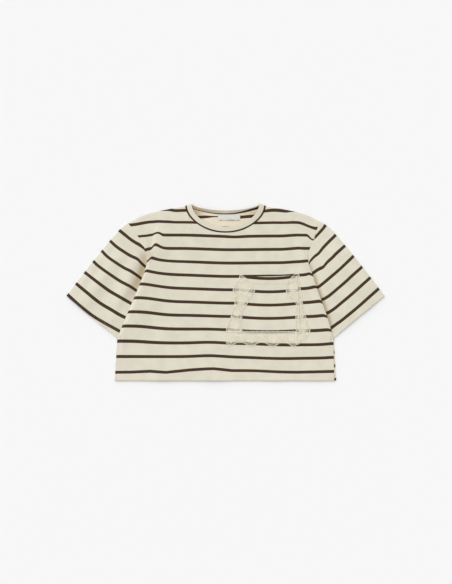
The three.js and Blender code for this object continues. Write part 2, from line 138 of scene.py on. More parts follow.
def smooth_line(rows, shares):
    """Points at shares of the way through the rows: between each two rows a cubic whose slopes
    come from the rows on both sides, weighted by the square roots of their distances."""
    points = np.array(rows, float)
    ends = np.vstack([2 * points[0] - points[1], points, 2 * points[-1] - points[-2]])
    place = np.clip(np.asarray(shares, float), 0, 1) * (len(points) - 1)
    first = np.minimum(place.astype(int), len(points) - 2)
    part = (place - first)[:, None]
    a, b, c, d = (ends[first + k] for k in range(4))
    step = [np.sqrt(np.linalg.norm(q - p, axis=1))[:, None] for p, q in ((a, b), (b, c), (c, d))]
    slope_b = ((b - a) / step[0] - (c - a) / (step[0] + step[1]) + (c - b) / step[1]) * step[1]
    slope_c = ((c - b) / step[1] - (d - b) / (step[1] + step[2]) + (d - c) / step[2]) * step[1]
    square = -3 * b + 3 * c - 2 * slope_b - slope_c
    cube = 2 * b - 2 * c + slope_b + slope_c
    return b + slope_b * part + square * part ** 2 + cube * part ** 3


def tuck_at(rows, shares):
    """How far the sleeve runs on below the front's folded edge at shares of an armhole line."""
    return np.interp(np.asarray(shares) * (len(rows) - 1), np.arange(len(rows)), np.array(rows)[:, 2] * mm)


def armhole_line(rows, shares, inward=0.0, tucked=False):
    """Armhole points moved towards the body by a distance, and by the tuck where it is asked."""
    places = np.array(rows, float)[:, :2] * mm
    line = smooth_line(places, shares)
    ahead = smooth_line(places, np.asarray(shares) + 1e-3)
    behind = smooth_line(places, np.asarray(shares) - 1e-3)
    along = (ahead - behind) / np.linalg.norm(ahead - behind, axis=1)[:, None]
    side = np.sign(rows[0][0])
    to_body = np.column_stack([along[:, 1] * side, -along[:, 0] * side])
    distance = inward + (tuck_at(rows, shares) if tucked else 0)
    return line + to_body * np.broadcast_to(distance, len(line))[:, None]


def shoulder_points(armhole, shares):
    """Shoulder line of one side, from its armhole (0) to the neck point (1)."""
    side = np.sign(armhole[0][0])
    rows = [armhole[0][:2]] + [(side * x, y) for x, y in reversed(shoulder_line)]
    return smooth_line(np.array(rows) * mm, shares)


def back_neck(shares, outwards=0.0):
    """Neck seam of the back: a shallow bow, deepest at the middle."""
    turn = np.pi * np.asarray(shares)
    drop = back_neck_drop * np.sin(turn) ** back_neck_fullness
    return np.column_stack([-neck_point[0] * np.cos(turn), neck_point[1] - outwards - drop])


def between(lower, upper, first, last, across, up):
    """Grid between four edges, at shares across and up: the two pairs of edges are blended and
    the blend of the four corners is taken off once."""
    s, t = across[:, None, None], up[None, :, None]
    grid = lower[:, None] * (1 - t) + upper[:, None] * t + first[None] * (1 - s) + last[None] * s
    corners = (lower[0] * (1 - s) + lower[-1] * s) * (1 - t) + (upper[0] * (1 - s) + upper[-1] * s) * t
    return grid - corners


def blend(lower, upper, first, last):
    """Grid of a body panel: its shares are the distances along its foot and up its first side."""
    across = np.linalg.norm(lower - lower[0], axis=1) / np.linalg.norm(lower[-1] - lower[0])
    up = (first[:, 1] - first[0, 1]) / (first[-1, 1] - first[0, 1])
    return between(lower, upper, first, last, across, up)


def cloth_wall(grid, thickness, wraps=False, round_steps=3):
    """Closed wall round a grid of middle points: both faces stand half the thickness off along
    the grid's normals, and every open edge is closed by half a circle. Returns points, faces,
    the grid point that each point came from, and the side of each face: 0 over, 1 under."""
    columns, rows = grid.shape[:2]
    if wraps:
        across = np.roll(grid, -1, 0) - np.roll(grid, 1, 0)
    else:
        across = np.gradient(grid, axis=0)
    normal = np.cross(across, np.gradient(grid, axis=1))
    normal /= np.maximum(np.linalg.norm(normal, axis=2, keepdims=True), 1e-12)
    index = np.arange(columns * rows).reshape(columns, rows)
    after = np.roll(index, -1, 0) if wraps else index[1:]
    before = index if wraps else index[:-1]
    over = np.stack([before[:, :-1], after[:, :-1], after[:, 1:], before[:, 1:]], -1).reshape(-1, 4)
    if wraps:
        loops = [index[:, 0], index[::-1, -1]]
    else:
        loops = [np.concatenate([index[:-1, 0], index[-1, :-1], index[:0:-1, -1], index[0, :0:-1]])]
    flat, normals = grid.reshape(-1, 3), normal.reshape(-1, 3)
    count = len(flat)
    points = [flat + normals * thickness / 2, flat - normals * thickness / 2]
    sources = [np.arange(count), np.arange(count)]
    faces, sides = [over, over[:, ::-1] + count], [np.zeros(len(over)), np.ones(len(over))]
    total = 2 * count
    for loop in loops:
        along = np.roll(flat[loop], -1, 0) - np.roll(flat[loop], 1, 0)
        outward = np.cross(along, normals[loop])
        outward /= np.maximum(np.linalg.norm(outward, axis=1, keepdims=True), 1e-12)
        rings = [loop]
        for turn in np.pi * np.arange(1, round_steps + 1) / (round_steps + 1):
            lean = np.cos(turn) * normals[loop] + np.sin(turn) * outward
            points.append(flat[loop] + lean * thickness / 2)
            sources.append(loop)
            rings.append(total + np.arange(len(loop)))
            total += len(loop)
        rings.append(loop + count)
        for number, (upper, lower) in enumerate(zip(rings, rings[1:])):
            rim = np.stack([upper, lower, np.roll(lower, -1), np.roll(upper, -1)], -1)
            faces.append(rim)
            sides.append(np.full(len(rim), 1.0 if number > round_steps / 2 else 0.0))
    return [np.concatenate(arrays) for arrays in (points, faces, sources, sides)]


def add_mesh(name, points, corners, starts, materials):
    """One smooth object from its points, the point number of every face's corners in one row, and
    the place in that row where each face starts."""
    mesh = bpy.data.meshes.new(name)
    mesh.vertices.add(len(points))
    mesh.vertices.foreach_set("co", points.astype(np.float32).ravel())
    mesh.loops.add(len(corners))
    mesh.loops.foreach_set("vertex_index", corners.astype(np.int32))
    mesh.polygons.add(len(starts))
    mesh.polygons.foreach_set("loop_start", starts.astype(np.int32))
    mesh.update(calc_edges=True)
    mesh.polygons.foreach_set("use_smooth", np.ones(len(starts), bool))
    for material in materials:
        mesh.materials.append(material)
    made = bpy.data.objects.new(name, mesh)
    bpy.context.collection.objects.link(made)
    return made


def make_piece(name, points, faces, materials, uv=None, painted_shade=None, sides=None):
    """One closed piece from its points and its faces of four corners, which are turned outwards:
    the volume that they enclose has to be positive. Where they are given, each point has a place
    on the cloth's map and a share of painted shade, and each face a side of the cloth."""
    first, second, third, fourth = (points[faces[:, k]] for k in range(4))
    if np.sum(first * (np.cross(second, third) + np.cross(third, fourth))) < 0:
        faces = faces[:, ::-1]
    made = add_mesh(name, points, faces.ravel(), np.arange(0, faces.size, 4), materials)
    mesh = made.data
    if uv is not None:
        layer = mesh.uv_layers.new(name="cloth")
        layer.data.foreach_set("uv", uv[faces.ravel()].astype(np.float32).ravel())
    # The share of painted shade is kept as a point attribute that darkens the cloth's colour
    if painted_shade is not None:
        shade = mesh.attributes.new("painted_shade", "FLOAT", "POINT")
        shade.data.foreach_set("value", painted_shade.astype(np.float32))
    if sides is not None:
        mesh.polygons.foreach_set("material_index", sides.astype(np.int32))
    mesh.validate()
    return made


def cloth_piece(name, grid, thickness, materials, uv=None, painted_shade=None, wraps=False,
                round_steps=3, turned=False):
    """A piece of cloth from its grid of middle points, each with a place on the map and a share
    of painted shade. It is turned where the grid's normals point to the cloth's inside."""
    points, faces, sources, sides = cloth_wall(grid, thickness, wraps, round_steps)
    if turned:
        sides = 1 - sides
    if len(materials) == 1:
        sides = None
    uv, painted_shade = (each if each is None else each[sources] for each in (uv, painted_shade))
    return make_piece(name, points, faces, materials, uv, painted_shade, sides)


class Value:
    """A number that varies over a surface. Arithmetic on it adds Math nodes."""

    def __init__(self, finish, socket):
        self.finish = finish
        self.socket = socket

    def math(self, operation, *others, swapped=False):
        inputs = [self, *others]
        if swapped:
            inputs.reverse()
        return self.finish.node("ShaderNodeMath", {"operation": operation}, dict(enumerate(inputs)))

    def __add__(self, other):
        return self.math("ADD", other)

    __radd__ = __add__

    def __sub__(self, other):
        return self.math("SUBTRACT", other)

    def __rsub__(self, other):
        return self.math("SUBTRACT", other, swapped=True)

    def __mul__(self, other):
        return self.math("MULTIPLY", other)

    __rmul__ = __mul__


class Finish:
    """A material: nodes come from one method, and its shader's sockets are set by name."""

    def __init__(self, name, **settings):
        self.material = bpy.data.materials.new(name)
        self.material.use_nodes = True
        self.tree = self.material.node_tree
        self.shader = self.tree.nodes["Principled BSDF"]
        for socket, value in settings.items():
            self.shader.inputs[socket.replace("_", " ")].default_value = value

    def feed(self, socket, item):
        if isinstance(item, Value):
            self.tree.links.new(item.socket, socket)
        else:
            socket.default_value = item

    def node(self, kind, settings=None, inputs=None, output=0):
        """Adds a node of a kind, sets its settings, then its sockets, and gives one output."""
        made = self.tree.nodes.new(kind)
        for name, value in (settings or {}).items():
            setattr(made, name, value)
        for socket, item in (inputs or {}).items():
            self.feed(made.inputs[socket], item)
        return Value(self, made.outputs[output])

    def set(self, **links):
        for socket, item in links.items():
            self.feed(self.shader.inputs[socket.replace("_", " ")], item)

    def soft_step(self, value, low, high):
        """0 below low, 1 above high and a smooth rise between them."""
        return self.node("ShaderNodeMapRange", {"interpolation_type": "SMOOTHSTEP"},
                         {"Value": value, "From Min": low, "From Max": high})

    def mix(self, share, first, second, way="MIX"):
        settings = {"data_type": "RGBA", "blend_type": way}
        return self.node("ShaderNodeMix", settings, {"Factor": share, 6: first, 7: second}, output=2)

    def place(self):
        """Object coordinates, in metres."""
        return self.node("ShaderNodeTexCoord", output="Object")

    def noise(self, place, scale, detail=2.0):
        """Soft random spots from 0 to 1, about as many to a unit of the place as the scale says."""
        return self.node("ShaderNodeTexNoise", {}, {"Vector": place, "Scale": scale, "Detail": detail})

    def waves(self, place, scale, direction="DIAGONAL", distortion=0.0):
        """Even bands from 0 to 1 across a direction."""
        return self.node("ShaderNodeTexWave", {"bands_direction": direction},
                         {"Vector": place, "Scale": scale, "Distortion": distortion})

    def bump(self, strength, distance, height):
        """Raises the surface by a distance where the height is 1."""
        self.set(Normal=self.node("ShaderNodeBump", {}, {
            "Strength": strength, "Distance": distance, "Height": height}))


def linear(red, green, blue):
    """A colour given in screen values from 0 to 255, as the shader's linear light."""
    screen = np.array([red, green, blue]) / 255
    light = np.where(screen <= 0.04045, screen / 12.92, ((screen + 0.055) / 1.055) ** 2.4)
    return (*light.tolist(), 1)


def darker(colour, share):
    """The same colour at a share of its light, at most 1."""
    return tuple(min(1, share * part) for part in colour[:3]) + (1,)


# The jersey's colours, and its stripes, stitch columns and stitch courses in millimetres
cream = linear(226, 220, 202)
inside_cream = linear(238, 227, 204)
stripe_brown = linear(62, 46, 32)
# Warm tint that the jersey's colour is multiplied by where shade is painted into it: painted shade in
# folds, inside the neck and beside the armholes
painted_shade_tint = (0.62, 0.52, 0.40, 1)
stripe_width = 7.1
stripe_pitch = 31.41
stripe_fray = 0.9
stripe_softness = 0.35
wale_width = 1.15
course_height = 0.9
fuzz_scale = 0.9
mottle_scale = 0.035
knit_relief = 0.25 * mm
knit_strength = 0.35


def start_jersey(name, pitch):
    """A jersey finish that reads the cloth's map: u is millimetres along a stripe, and v counts
    stripes that lie a pitch apart. Gives v, the place in millimetres, its fuzz, and the wales,
    the columns of stitches, as the size of a sine along the stripe."""
    finish = Finish(name, Roughness=0.92, Sheen_Weight=0.12, Sheen_Roughness=0.5,
                    Specular_IOR_Level=0.2)
    cloth = finish.node("ShaderNodeUVMap", {"uv_map": "cloth"})
    u, v = (finish.node("ShaderNodeSeparateXYZ", {}, {"Vector": cloth}, axis) for axis in "XY")
    place = finish.node("ShaderNodeCombineXYZ", {}, {"X": u, "Y": v * pitch})
    fuzz = finish.noise(place, fuzz_scale, 3.0)
    wale = (u * (np.pi / wale_width)).math("SINE").math("ABSOLUTE")
    return finish, v, place, fuzz, wale


def colour_jersey(finish, share, pale, brown):
    """Pale cloth that is brown at a share, multiplied by a warm tint of painted shade where its
    attribute of painted shade says that it lies deep in a fold."""
    deep = finish.node("ShaderNodeAttribute", {"attribute_name": "painted_shade"}, output="Fac")
    finish.set(Base_Color=finish.mix(deep, finish.mix(share, pale, brown), painted_shade_tint, "MULTIPLY"))


def jersey(name, ground):
    """Striped jersey: brown within half a stripe's width of each whole v, with a frayed edge,
    paler where the yarn is worn, and with columns and slanting courses of stitches as bump."""
    finish, v, place, fuzz, wale = start_jersey(name, stripe_pitch)
    from_stripe = ((v + 0.5).math("FRACT") - 0.5).math("ABSOLUTE") * stripe_pitch
    frayed = from_stripe + (fuzz - 0.5) * stripe_fray
    half = stripe_width / 2
    share = 1 - finish.soft_step(frayed, half - stripe_softness, half + stripe_softness)
    mottle = finish.soft_step(finish.noise(place, mottle_scale), 0.3, 0.7)
    pale = finish.mix(mottle, ground, darker(ground, 0.93))
    brown = finish.mix(finish.soft_step(fuzz, 0.45, 0.75), stripe_brown, darker(stripe_brown, 2.2))
    colour_jersey(finish, share, pale, brown)
    slant = wale * 0.35
    course = ((v * (stripe_pitch / course_height) + slant) * (2 * np.pi)).math("SINE")
    relief = wale * 0.55 + course * wale * 0.25 + (fuzz - 0.5) * 0.6
    finish.bump(knit_strength, knit_relief, relief)
    return finish.material


jersey_face = jersey("jersey_face", cream)
jersey_inside = jersey("jersey_inside", inside_cream)


def soft_step(value):
    """Smooth rise from 0 to 1 as the value goes from 0 to 1."""
    part = np.clip(value, 0, 1)
    return part * part * (3 - 2 * part)


def edge_shares(count, length, close):
    """Shares along a length, with closer rows beside both ends."""
    inner = np.linspace(0, length, count)
    near = np.array(close) * mm
    inner = inner[(inner > near[-1]) & (inner < length - near[-1])]
    return np.concatenate([near, inner, length - near[::-1]]) / length


def panel_ends(shares, neck_line, hem_left):
    """Upper and lower edge of a body panel. The upper one runs over the shoulders, at shares of
    them, and along the neck, and the lower one has a place on the hem for each of its places."""
    shoulders = [shoulder_points(armhole, shares) for armhole in (armhole_right, armhole_left)]
    top = np.vstack([shoulders[0][:-1], neck_line, shoulders[1][::-1][1:]])
    neck_foot = hem_half_width * neck_point[0] / shoulder_reach
    turn = np.pi * np.linspace(0, 1, len(neck_line))
    foot_x = np.concatenate([-hem_half_width + (hem_half_width - neck_foot) * shares[:-1],
                             -neck_foot * np.cos(turn),
                             hem_left + (neck_foot - hem_left) * shares[::-1][1:]])
    return top, np.column_stack([foot_x, np.full(len(foot_x), hem_y)])


def back_edge(armhole, side_rows=20, armhole_rows=60):
    """Edge of the back from the hem up its side and round the armhole to the shoulder."""
    holes = armhole_line(armhole, np.linspace(sewn_share, 0, armhole_rows), seam_gap, True)
    low = np.array([np.sign(armhole[0][0]) * hem_half_width, hem_y])
    underarm = np.array([armhole[-1][0] * mm, underarm_y])
    return np.vstack([low + (underarm - low) * np.linspace(0, 1, side_rows)[:, None], holes])


def bells(x, y, rows):
    """Sum of soft round spots: each row gives a place, how wide and high the spot is, and its
    size at the middle."""
    return sum(size * np.exp(-0.5 * ((x - at_x) / wide) ** 2 - 0.5 * ((y - at_y) / high) ** 2)
               for at_x, at_y, wide, high, size in rows)


def back_stripes(px, py):
    """Stripe count at a place: straight lines, moved and thinned where the first one shows."""
    shown = soft_step((py - back_stripe_lift["from"]) / back_stripe_lift["run"])
    lift = np.interp(px, back_stripe_lift["x"], back_stripe_lift["lift"]) * shown
    lift += bells(px, py, back_stripe_sag)
    count = (back_stripe_start - py + lift) / back_stripe_pitch
    from_thin = (px - back_stripe_thin["x"]) / back_stripe_thin["wide"]
    thin = back_stripe_thin["by"] * np.exp(-0.5 * from_thin ** 2)
    return count * (1 + thin * (np.abs(count) < back_stripe_thin["within"]))


def make_back(shoulder_columns=26, neck_columns=61):
    """The back is a flat grid between its hem, sides, armholes, shoulders and neck."""
    neck_line = back_neck(np.linspace(0, 1, neck_columns), back_neck_gap)
    top, foot = panel_ends(np.linspace(0, 1, shoulder_columns), neck_line, hem_half_width)
    first, last = back_edge(armhole_right), back_edge(armhole_left)
    top[0], top[-1] = first[-1], last[-1]
    plan = blend(foot, top, first, last)
    grid = np.dstack([plan, np.full(plan.shape[:2], back_height)])
    px, py = plan.reshape(-1, 2).T / mm
    uv = np.column_stack([px, back_stripes(px, py)])
    # Painted shade: the cloth's colour is darkened in spots inside the neck and below the label
    painted_shade = np.clip(bells(px, py, back_painted_shade), 0, 1)
    return cloth_piece("back_panel", grid, cloth_thickness, [jersey_inside, jersey_face], uv, painted_shade)


def sew_on(piece, slot, *nodes):
    """A finished piece rides on the one body, in place of its solids. Its slot is not used."""
    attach(piece, "root")
    if nodes:
        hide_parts(*nodes)


back = make_back()
sew_on(back, "striped_jersey", "back")

# Front
# The same jersey, with a deeper neck. It lies on the back: its sides are folded over at the
# side seams, and by both armpits it is folded over the sleeve with a soft raised edge.
front_height = 2.15 * mm
front_lowest = 1.75 * mm
front_seat = 1.6 * mm
seat_on_sleeve = 3.4 * mm
full_tuck = 5 * mm
tuck_short = 1.5 * mm
least_tuck = 0.2 * mm
fold_radius_least = 0.06 * mm
neck_drop = 60.7 * mm
neck_fullness = 1.18
front_hem_left = 255.5 * mm
shoulder_length = 135 * mm
hem_depth = 16 * mm
hem_thickness = 0.35 * mm
hem_step = 3 * mm
hem_groove = 0.25 * mm
groove_width = 0.7 * mm
row_gap = 5.5 * mm
thread_radius = 0.15 * mm
slack_height = 0.35 * mm
# How the front sinks beside its seams: how deep and wide the dip is, and where it begins
armhole_dip = {"deep": 0.9 * mm, "wide": 3.2 * mm, "from": 70 * mm, "run": 12 * mm}
shoulder_dip = {"deep": 1.2 * mm, "wide": 2.6 * mm}

# Soft folds of the front: how wide each is on the wearer's right and left of its crest, and
# the crest's places: x, y and height in millimetres
front_folds = [
    (4.0, 19, [(-156, 168, 0.5), (-161, 138, 2.2), (-166, 110, 3.6), (-176, 82, 4.3), (-181, 56, 4.4),
               (-198, 8.4, 4.2), (-220, -47, 3.8), (-244, -101, 2.8)]),
    (15, 5, [(186, 84, 1.0), (200, 40, 3.0), (209, 8.1, 3.8), (227, -42, 3.8), (247, -101, 2.8)]),
    (9, 8, [(172, 130, 0.4), (181, 92, 1.8), (185, 50, 2.0), (181, 8, 1.2), (176, -20, 0.2)]),
    (12, 14, [(-140, 128, 0.2), (-150, 60, 1.0), (-172, -20, 1.2), (-205, -90, 0.4)]),
    (17, 17, [(-142, -208, 1.8), (-150, -175, 1.4), (-172, -110, 0.3)]),
    (15, 15, [(-80, -208, 0.5), (-86, -180, 0.9), (-96, -130, 0.2)]),
    (22, 20, [(-28, -208, 2.0), (-34, -176, 1.5), (-46, -120, 0.3)]),
    (16, 16, [(118, -208, 1.2), (110, -178, 0.8), (104, -150, 0.2)]),
    (14, 12, [(214, -208, 0.9), (206, -150, 0.9), (212, -96, 0.6)]),
    (12, 10, [(-60, 150, 0.8), (-72, 120, 0.7), (-84, 70, 0.2)]),
    (10, 10, [(64, 148, 0.6), (78, 118, 0.6), (96, 76, 0.2)]),
    (11, 11, [(0, 128, 0.9), (3, 108, 0.5), (6, 84, 0.1)]),
]

# How the stripes are drawn up towards the fold by the wearer's right armpit: height on the
# cloth, the fold's crest, how far the stripe is lifted there, how far the pull reaches towards
# the middle and how steeply it ends, and how soon it is gone past the crest, in millimetres
right_pull = {
    "y": [-151, -120, -88, -57, -26, 6, 38, 70, 101, 131, 150],
    "crest": [-250, -248, -237, -225, -213, -203, -190, -177, -167, -161, -158],
    "lift": [0, 4.0, 6.8, 7.8, 9.2, 10.6, 10.8, 9.6, 8.6, 8.4, 0.5],
    "reach": [75, 75, 75, 70, 66, 57, 40, 30, 16, 9, 9],
    "power": [2.6, 2.6, 2.6, 2.6, 2.4, 2.0, 1.3, 1.0, 2.0, 2.6, 2.6],
    "gone": [40, 40, 40, 40, 30, 20, 12, 9, 8, 13, 13],
}
# The same by the wearer's left armpit
left_pull = {
    "y": [-187, -154, -120, -88, -57, -26, 6, 38, 70, 101, 131, 150],
    "crest": [252, 252, 252, 240, 230, 222, 214, 197, 194, 172, 170, 168],
    "lift": [0, 1.7, 2.9, 2.2, 2.5, 3.5, 4.8, 3.4, 2.2, 0.6, 0.2, 0],
    "reach": [22, 22, 22, 26, 17, 26, 18, 9, 12, 16, 14, 14],
    "power": [1.5, 1.5, 1.5, 1.5, 1.5, 1.5, 1.5, 1.5, 1.5, 1.5, 1.5, 1.5],
    "gone": [20, 20, 20, 12, 9, 9, 9, 9, 9, 9, 9, 9],
}
# Where the first stripe lies, and the broad pulls on all of them: lift, where it starts and is
# full from side to side, and where it starts and is full in height, in millimetres
first_stripe = 130.8
broad_pulls = [(3.0, 12, -108, -150, -40), (0.9, 12, 132, -50, 35), (2.2, 125, 175, -50, 35),
               (-8, -140, -230, 110, 148), (-3.5, 40, 160, -50, -120)]
# Sag of the stripes above the neck's foot, between the shoulders
neck_sag = {"lift": -4.2, "from": 150, "run": 40, "middle": 12, "reach": 125, "gone": 25}
# Droop of the stripes towards the left armhole, below and above a height: how far in the droop
# starts, how long its run is, and how deep it gets
left_droop = {"from": 108, "run": 22, "change": 135, "change_run": 20,
              "start": (190, 169), "length": (19, 46), "deep": (16.5, 14)}
# Small soft pulls on the stripes: x, y, how wide and high each is, and its lift, in millimetres
soft_pulls = [(-178, 131, 14, 10, 2.6), (-183, 164, 20, 12, 2.6), (190, 160, 24, 12, -2.6),
              (-37, -142, 28, 42, 2.4), (85, -152, 55, 22, -2.3), (22, 132, 16, 8, -1.6),
              (118, 198, 18, 10, 2.6), (84, 196, 7, 8, -1.6), (120, 166, 40, 9, 1.2),
              (165, 190, 18, 14, -4.5), (-142, 194, 24, 13, -2.8), (-192, 98, 8, 9, -4.0),
              (-185, 134, 6, 7, -1.2)]
# How far the stripes are drawn down along the hem
hem_pull = {"from": -160, "run": 25,
            "x": [-260, -225, -177, -140, -84, -27, 15, 72, 128, 171, 255],
            "drop": [5.5, 5.2, 3.1, 5.6, 0.2, -1.9, 1.4, 0.6, 1.2, 1.6, 0]}
# Painted shade in the dent above the right armpit: x, y, how wide and high it is, and how deep
front_painted_shade = [(-179, 88, 5, 13, 0.5)]


def ridge_heights(x, y, folds):
    """Sum of soft folds: each is its crest's height at the nearest place on the crest line,
    times a bell of the distance to it, with a width for either side of the crest."""
    total = np.zeros_like(x)
    for right_width, left_width, crest in folds:
        rows = np.array(crest, float) * mm
        nearest = np.full(x.shape, np.inf)
        height, width = np.zeros_like(x), np.ones_like(x)
        for start, end in zip(rows, rows[1:]):
            run = end[:2] - start[:2]
            share = ((x - start[0]) * run[0] + (y - start[1]) * run[1]) / (run @ run)
            share = np.clip(share, 0, 1)
            away = np.hypot(x - start[0] - share * run[0], y - start[1] - share * run[1])
            closer = away < nearest
            height = np.where(closer, start[2] + share * (end[2] - start[2]), height)
            on_right = x < start[0] + share * run[0]
            width = np.where(closer, np.where(on_right, right_width, left_width), width)
            nearest = np.where(closer, away, nearest)
        total += height * np.exp(-0.5 * (nearest / (width * mm)) ** 2)
    return total


def slack(x, y):
    """Small unevenness of cloth that was smoothed by hand: four crossing waves."""
    waves = np.sin(x * 71 + y * 23 + 0.4) + np.sin(x * 38 - y * 57 + 1.9)
    waves += 0.7 * np.sin(x * 121 + y * 96 + 2.6) + 0.5 * np.sin(y * 143 - x * 64 + 0.8)
    return slack_height * (0.5 + 0.25 * waves)


def join_shapes(name, shapes, materials):
    """One object from many small shapes, each given as its points, its faces of four corners and
    its faces of three."""
    starts = np.cumsum([0] + [len(shape[0]) for shape in shapes[:-1]])
    points = np.concatenate([shape[0] for shape in shapes])
    quads, caps = (np.concatenate([shape[k] + start for shape, start in zip(shapes, starts)])
                   for k in (1, 2))
    corners = np.concatenate([quads.ravel(), caps.ravel()])
    face_starts = np.concatenate([np.arange(0, quads.size, 4), quads.size + np.arange(0, caps.size, 3)])
    made = add_mesh(name, points, corners, face_starts, materials)
    made.data.validate()
    return made


def hem_form(from_edge, depth):
    """Height that a turned-up hem adds: the cloth is thicker below its stitching, and each of
    the two rows of stitches lies in a shallow groove."""
    height = hem_thickness * (1 - soft_step((from_edge - depth + hem_step / 3) / hem_step))
    for row in (depth, depth - row_gap):
        height -= hem_groove * np.exp(-0.5 * ((from_edge - row) / groove_width) ** 2)
    return height


def ring_faces(index, wraps=False):
    """Faces between neighbouring rings of point numbers, where the last ring may meet the first."""
    start, end = (index, np.roll(index, -1, 0)) if wraps else (index[:-1], index[1:])
    return np.stack([start, np.roll(start, -1, 1), np.roll(end, -1, 1), end], -1).reshape(-1, 4)


def round_section(along, sides):
    """Directions from the middle of a thread or cord to the points round it, square to its run."""
    along = along / np.maximum(np.linalg.norm(along, axis=-1, keepdims=True), 1e-12)
    side = np.cross(along, (0, 0, 1.0))
    side /= np.linalg.norm(side, axis=-1, keepdims=True)
    up = np.cross(side, along)
    turn = 2 * np.pi * np.arange(sides)[:, None] / sides
    return np.cos(turn) * side[..., None, :] + np.sin(turn) * up[..., None, :]


def stitch_shape(line, length=2.5 * mm, gap=0.7 * mm, radius=thread_radius):
    """One row of stitches along a line of places on the cloth's face: each stitch is a round
    thread that bows up and dips back into the cloth at both ends."""
    run = np.concatenate([[0], np.cumsum(np.linalg.norm(np.diff(line, axis=0), axis=1))])
    starts = np.arange(0.5 * gap, run[-1] - length, length + gap)
    share = np.linspace(0, 1, 5)
    at = starts[:, None] + share * length
    middle = np.stack([np.interp(at, run, line[:, k]) for k in range(3)], -1)
    middle[..., 2] += (1.3 * np.sin(np.pi * share) - 0.6) * radius
    thick = radius * np.array([0.55, 1, 1, 1, 0.55])[:, None, None]
    points = middle[:, :, None] + thick * round_section(np.gradient(middle, axis=1), 5)
    index = np.arange(points.size // 3).reshape(len(starts), 5, 5)
    first, last = index[:, :-1], index[:, 1:]
    quads = np.stack([first, np.roll(first, -1, 2), np.roll(last, -1, 2), last], -1).reshape(-1, 4)
    ends = np.concatenate([index[:, 0, ::-1], index[:, -1]])
    caps = np.stack([ends[:, [0, k, k + 1]] for k in (1, 2, 3)], 1).reshape(-1, 3)
    return points.reshape(-1, 3), quads, caps


def thread_material(name, colour):
    """Cotton sewing thread: slanting plies in the bump and a faint change of tone along it."""
    finish = Finish(name, Roughness=0.7, Sheen_Weight=0.1, Specular_IOR_Level=0.3)
    place = finish.place()
    finish.set(Base_Color=finish.mix(finish.noise(place, 300.0), colour, darker(colour, 0.85)))
    finish.bump(0.4, 0.08 * mm, finish.waves(place, 900.0))
    return finish.material


cream_thread = thread_material("cream_thread", linear(229, 222, 203))


def front_surface(x, y):
    """Height of the middle of the front's cloth."""
    return front_height + ridge_heights(x, y, front_folds) + slack(x, y)


def drawn_up(x, y, pull, side):
    """Lift of the stripes towards a fold: full on its crest, falling off towards the middle as
    e to minus a power of the distance, and soon gone on the sleeve's side."""
    columns = ("crest", "lift", "reach", "power", "gone")
    crest, lift, reach, power, gone = (np.interp(y, pull["y"], pull[k]) for k in columns)
    inward = (crest - x) * side
    inner = np.exp(-(np.maximum(inward, 0) / reach) ** power)
    return lift * inner * (1 - soft_step(-inward / gone))


def front_stripes(px, py):
    """Stripe count at a place: straight lines, raised or lowered by the pulls on the cloth. A
    broad pull is its lift times a soft step from side to side and one in height."""
    lift = drawn_up(px, py, right_pull, -1) + drawn_up(px, py, left_pull, 1) + bells(px, py, soft_pulls)
    for size, x0, x1, y0, y1 in broad_pulls:
        lift += size * soft_step((px - x0) / (x1 - x0)) * soft_step((py - y0) / (y1 - y0))
    past_neck = (np.abs(px - neck_sag["middle"]) - neck_sag["reach"]) / neck_sag["gone"]
    sagging = soft_step((py - neck_sag["from"]) / neck_sag["run"]) * (1 - soft_step(past_neck))
    lift += neck_sag["lift"] * sagging
    high_up = soft_step((py - left_droop["change"]) / left_droop["change_run"])
    start, length, deep = (low + (high - low) * high_up
                           for low, high in (left_droop[k] for k in ("start", "length", "deep")))
    drooping = soft_step((py - left_droop["from"]) / left_droop["run"])
    lift -= deep * soft_step((px - start) / length) * drooping
    at_hem = soft_step((hem_pull["from"] - py) / hem_pull["run"])
    lift -= at_hem * np.interp(px, hem_pull["x"], hem_pull["drop"])
    return (first_stripe - py + lift) / stripe_pitch


def front_neck(shares, outwards=0.0):
    """Neck seam of the front, from the wearer's right to the left: a full round scoop."""
    turn = np.pi * np.asarray(shares)
    drop = (neck_drop + outwards) * np.sin(turn) ** neck_fullness
    return np.column_stack([-(neck_point[0] + outwards) * np.cos(turn), neck_point[1] - drop])


def folded_edge(edge, beside, run, seat):
    """Columns that carry a panel over its folded edge: half a turn down from the panel's height
    to its seat, then a run back below it. Returns them from the panel outwards, first as they
    lie and then as places on the cloth laid open."""
    away = edge[:, :2] - beside[:, :2]
    away /= np.linalg.norm(away, axis=1)[:, None]
    radius = np.maximum((edge[:, 2] - seat) / 2, fold_radius_least)
    folded, opened = [], []
    for turn in np.pi * np.arange(1, 10) / 9:
        plan = edge[:, :2] + away * (radius * (np.sin(turn) - 1))[:, None]
        folded.append(np.column_stack([plan, edge[:, 2] - radius * (1 - np.cos(turn))]))
        opened.append(edge[:, :2] + away * (radius * turn)[:, None])
    for share in (0.25, 0.5, 0.75, 1.0):
        plan = edge[:, :2] - away * (radius + run * share)[:, None]
        folded.append(np.column_stack([plan, edge[:, 2] - 2 * radius]))
        opened.append(edge[:, :2] + away * (radius * np.pi + run * share)[:, None])
    return np.array(folded), np.array(opened)


def seam_dips(plan):
    """How far the front sinks beside its seams: along both upper armholes and the shoulders."""
    dips = np.zeros(plan.shape[:2])
    for end in (0, -1):
        from_seam = np.linalg.norm(plan - plan[end], axis=2)
        sewn = soft_step((plan[end, :, 1] - armhole_dip["from"]) / armhole_dip["run"])
        dips += armhole_dip["deep"] * sewn * (1 - soft_step(from_seam / armhole_dip["wide"]))
    from_top = np.linalg.norm(plan - plan[:, -1:], axis=2)
    on_shoulder = np.abs(plan[:, -1:, 0]) > neck_point[0] + 1 * mm
    return dips + shoulder_dip["deep"] * (1 - soft_step(from_top / shoulder_dip["wide"])) * on_shoulder


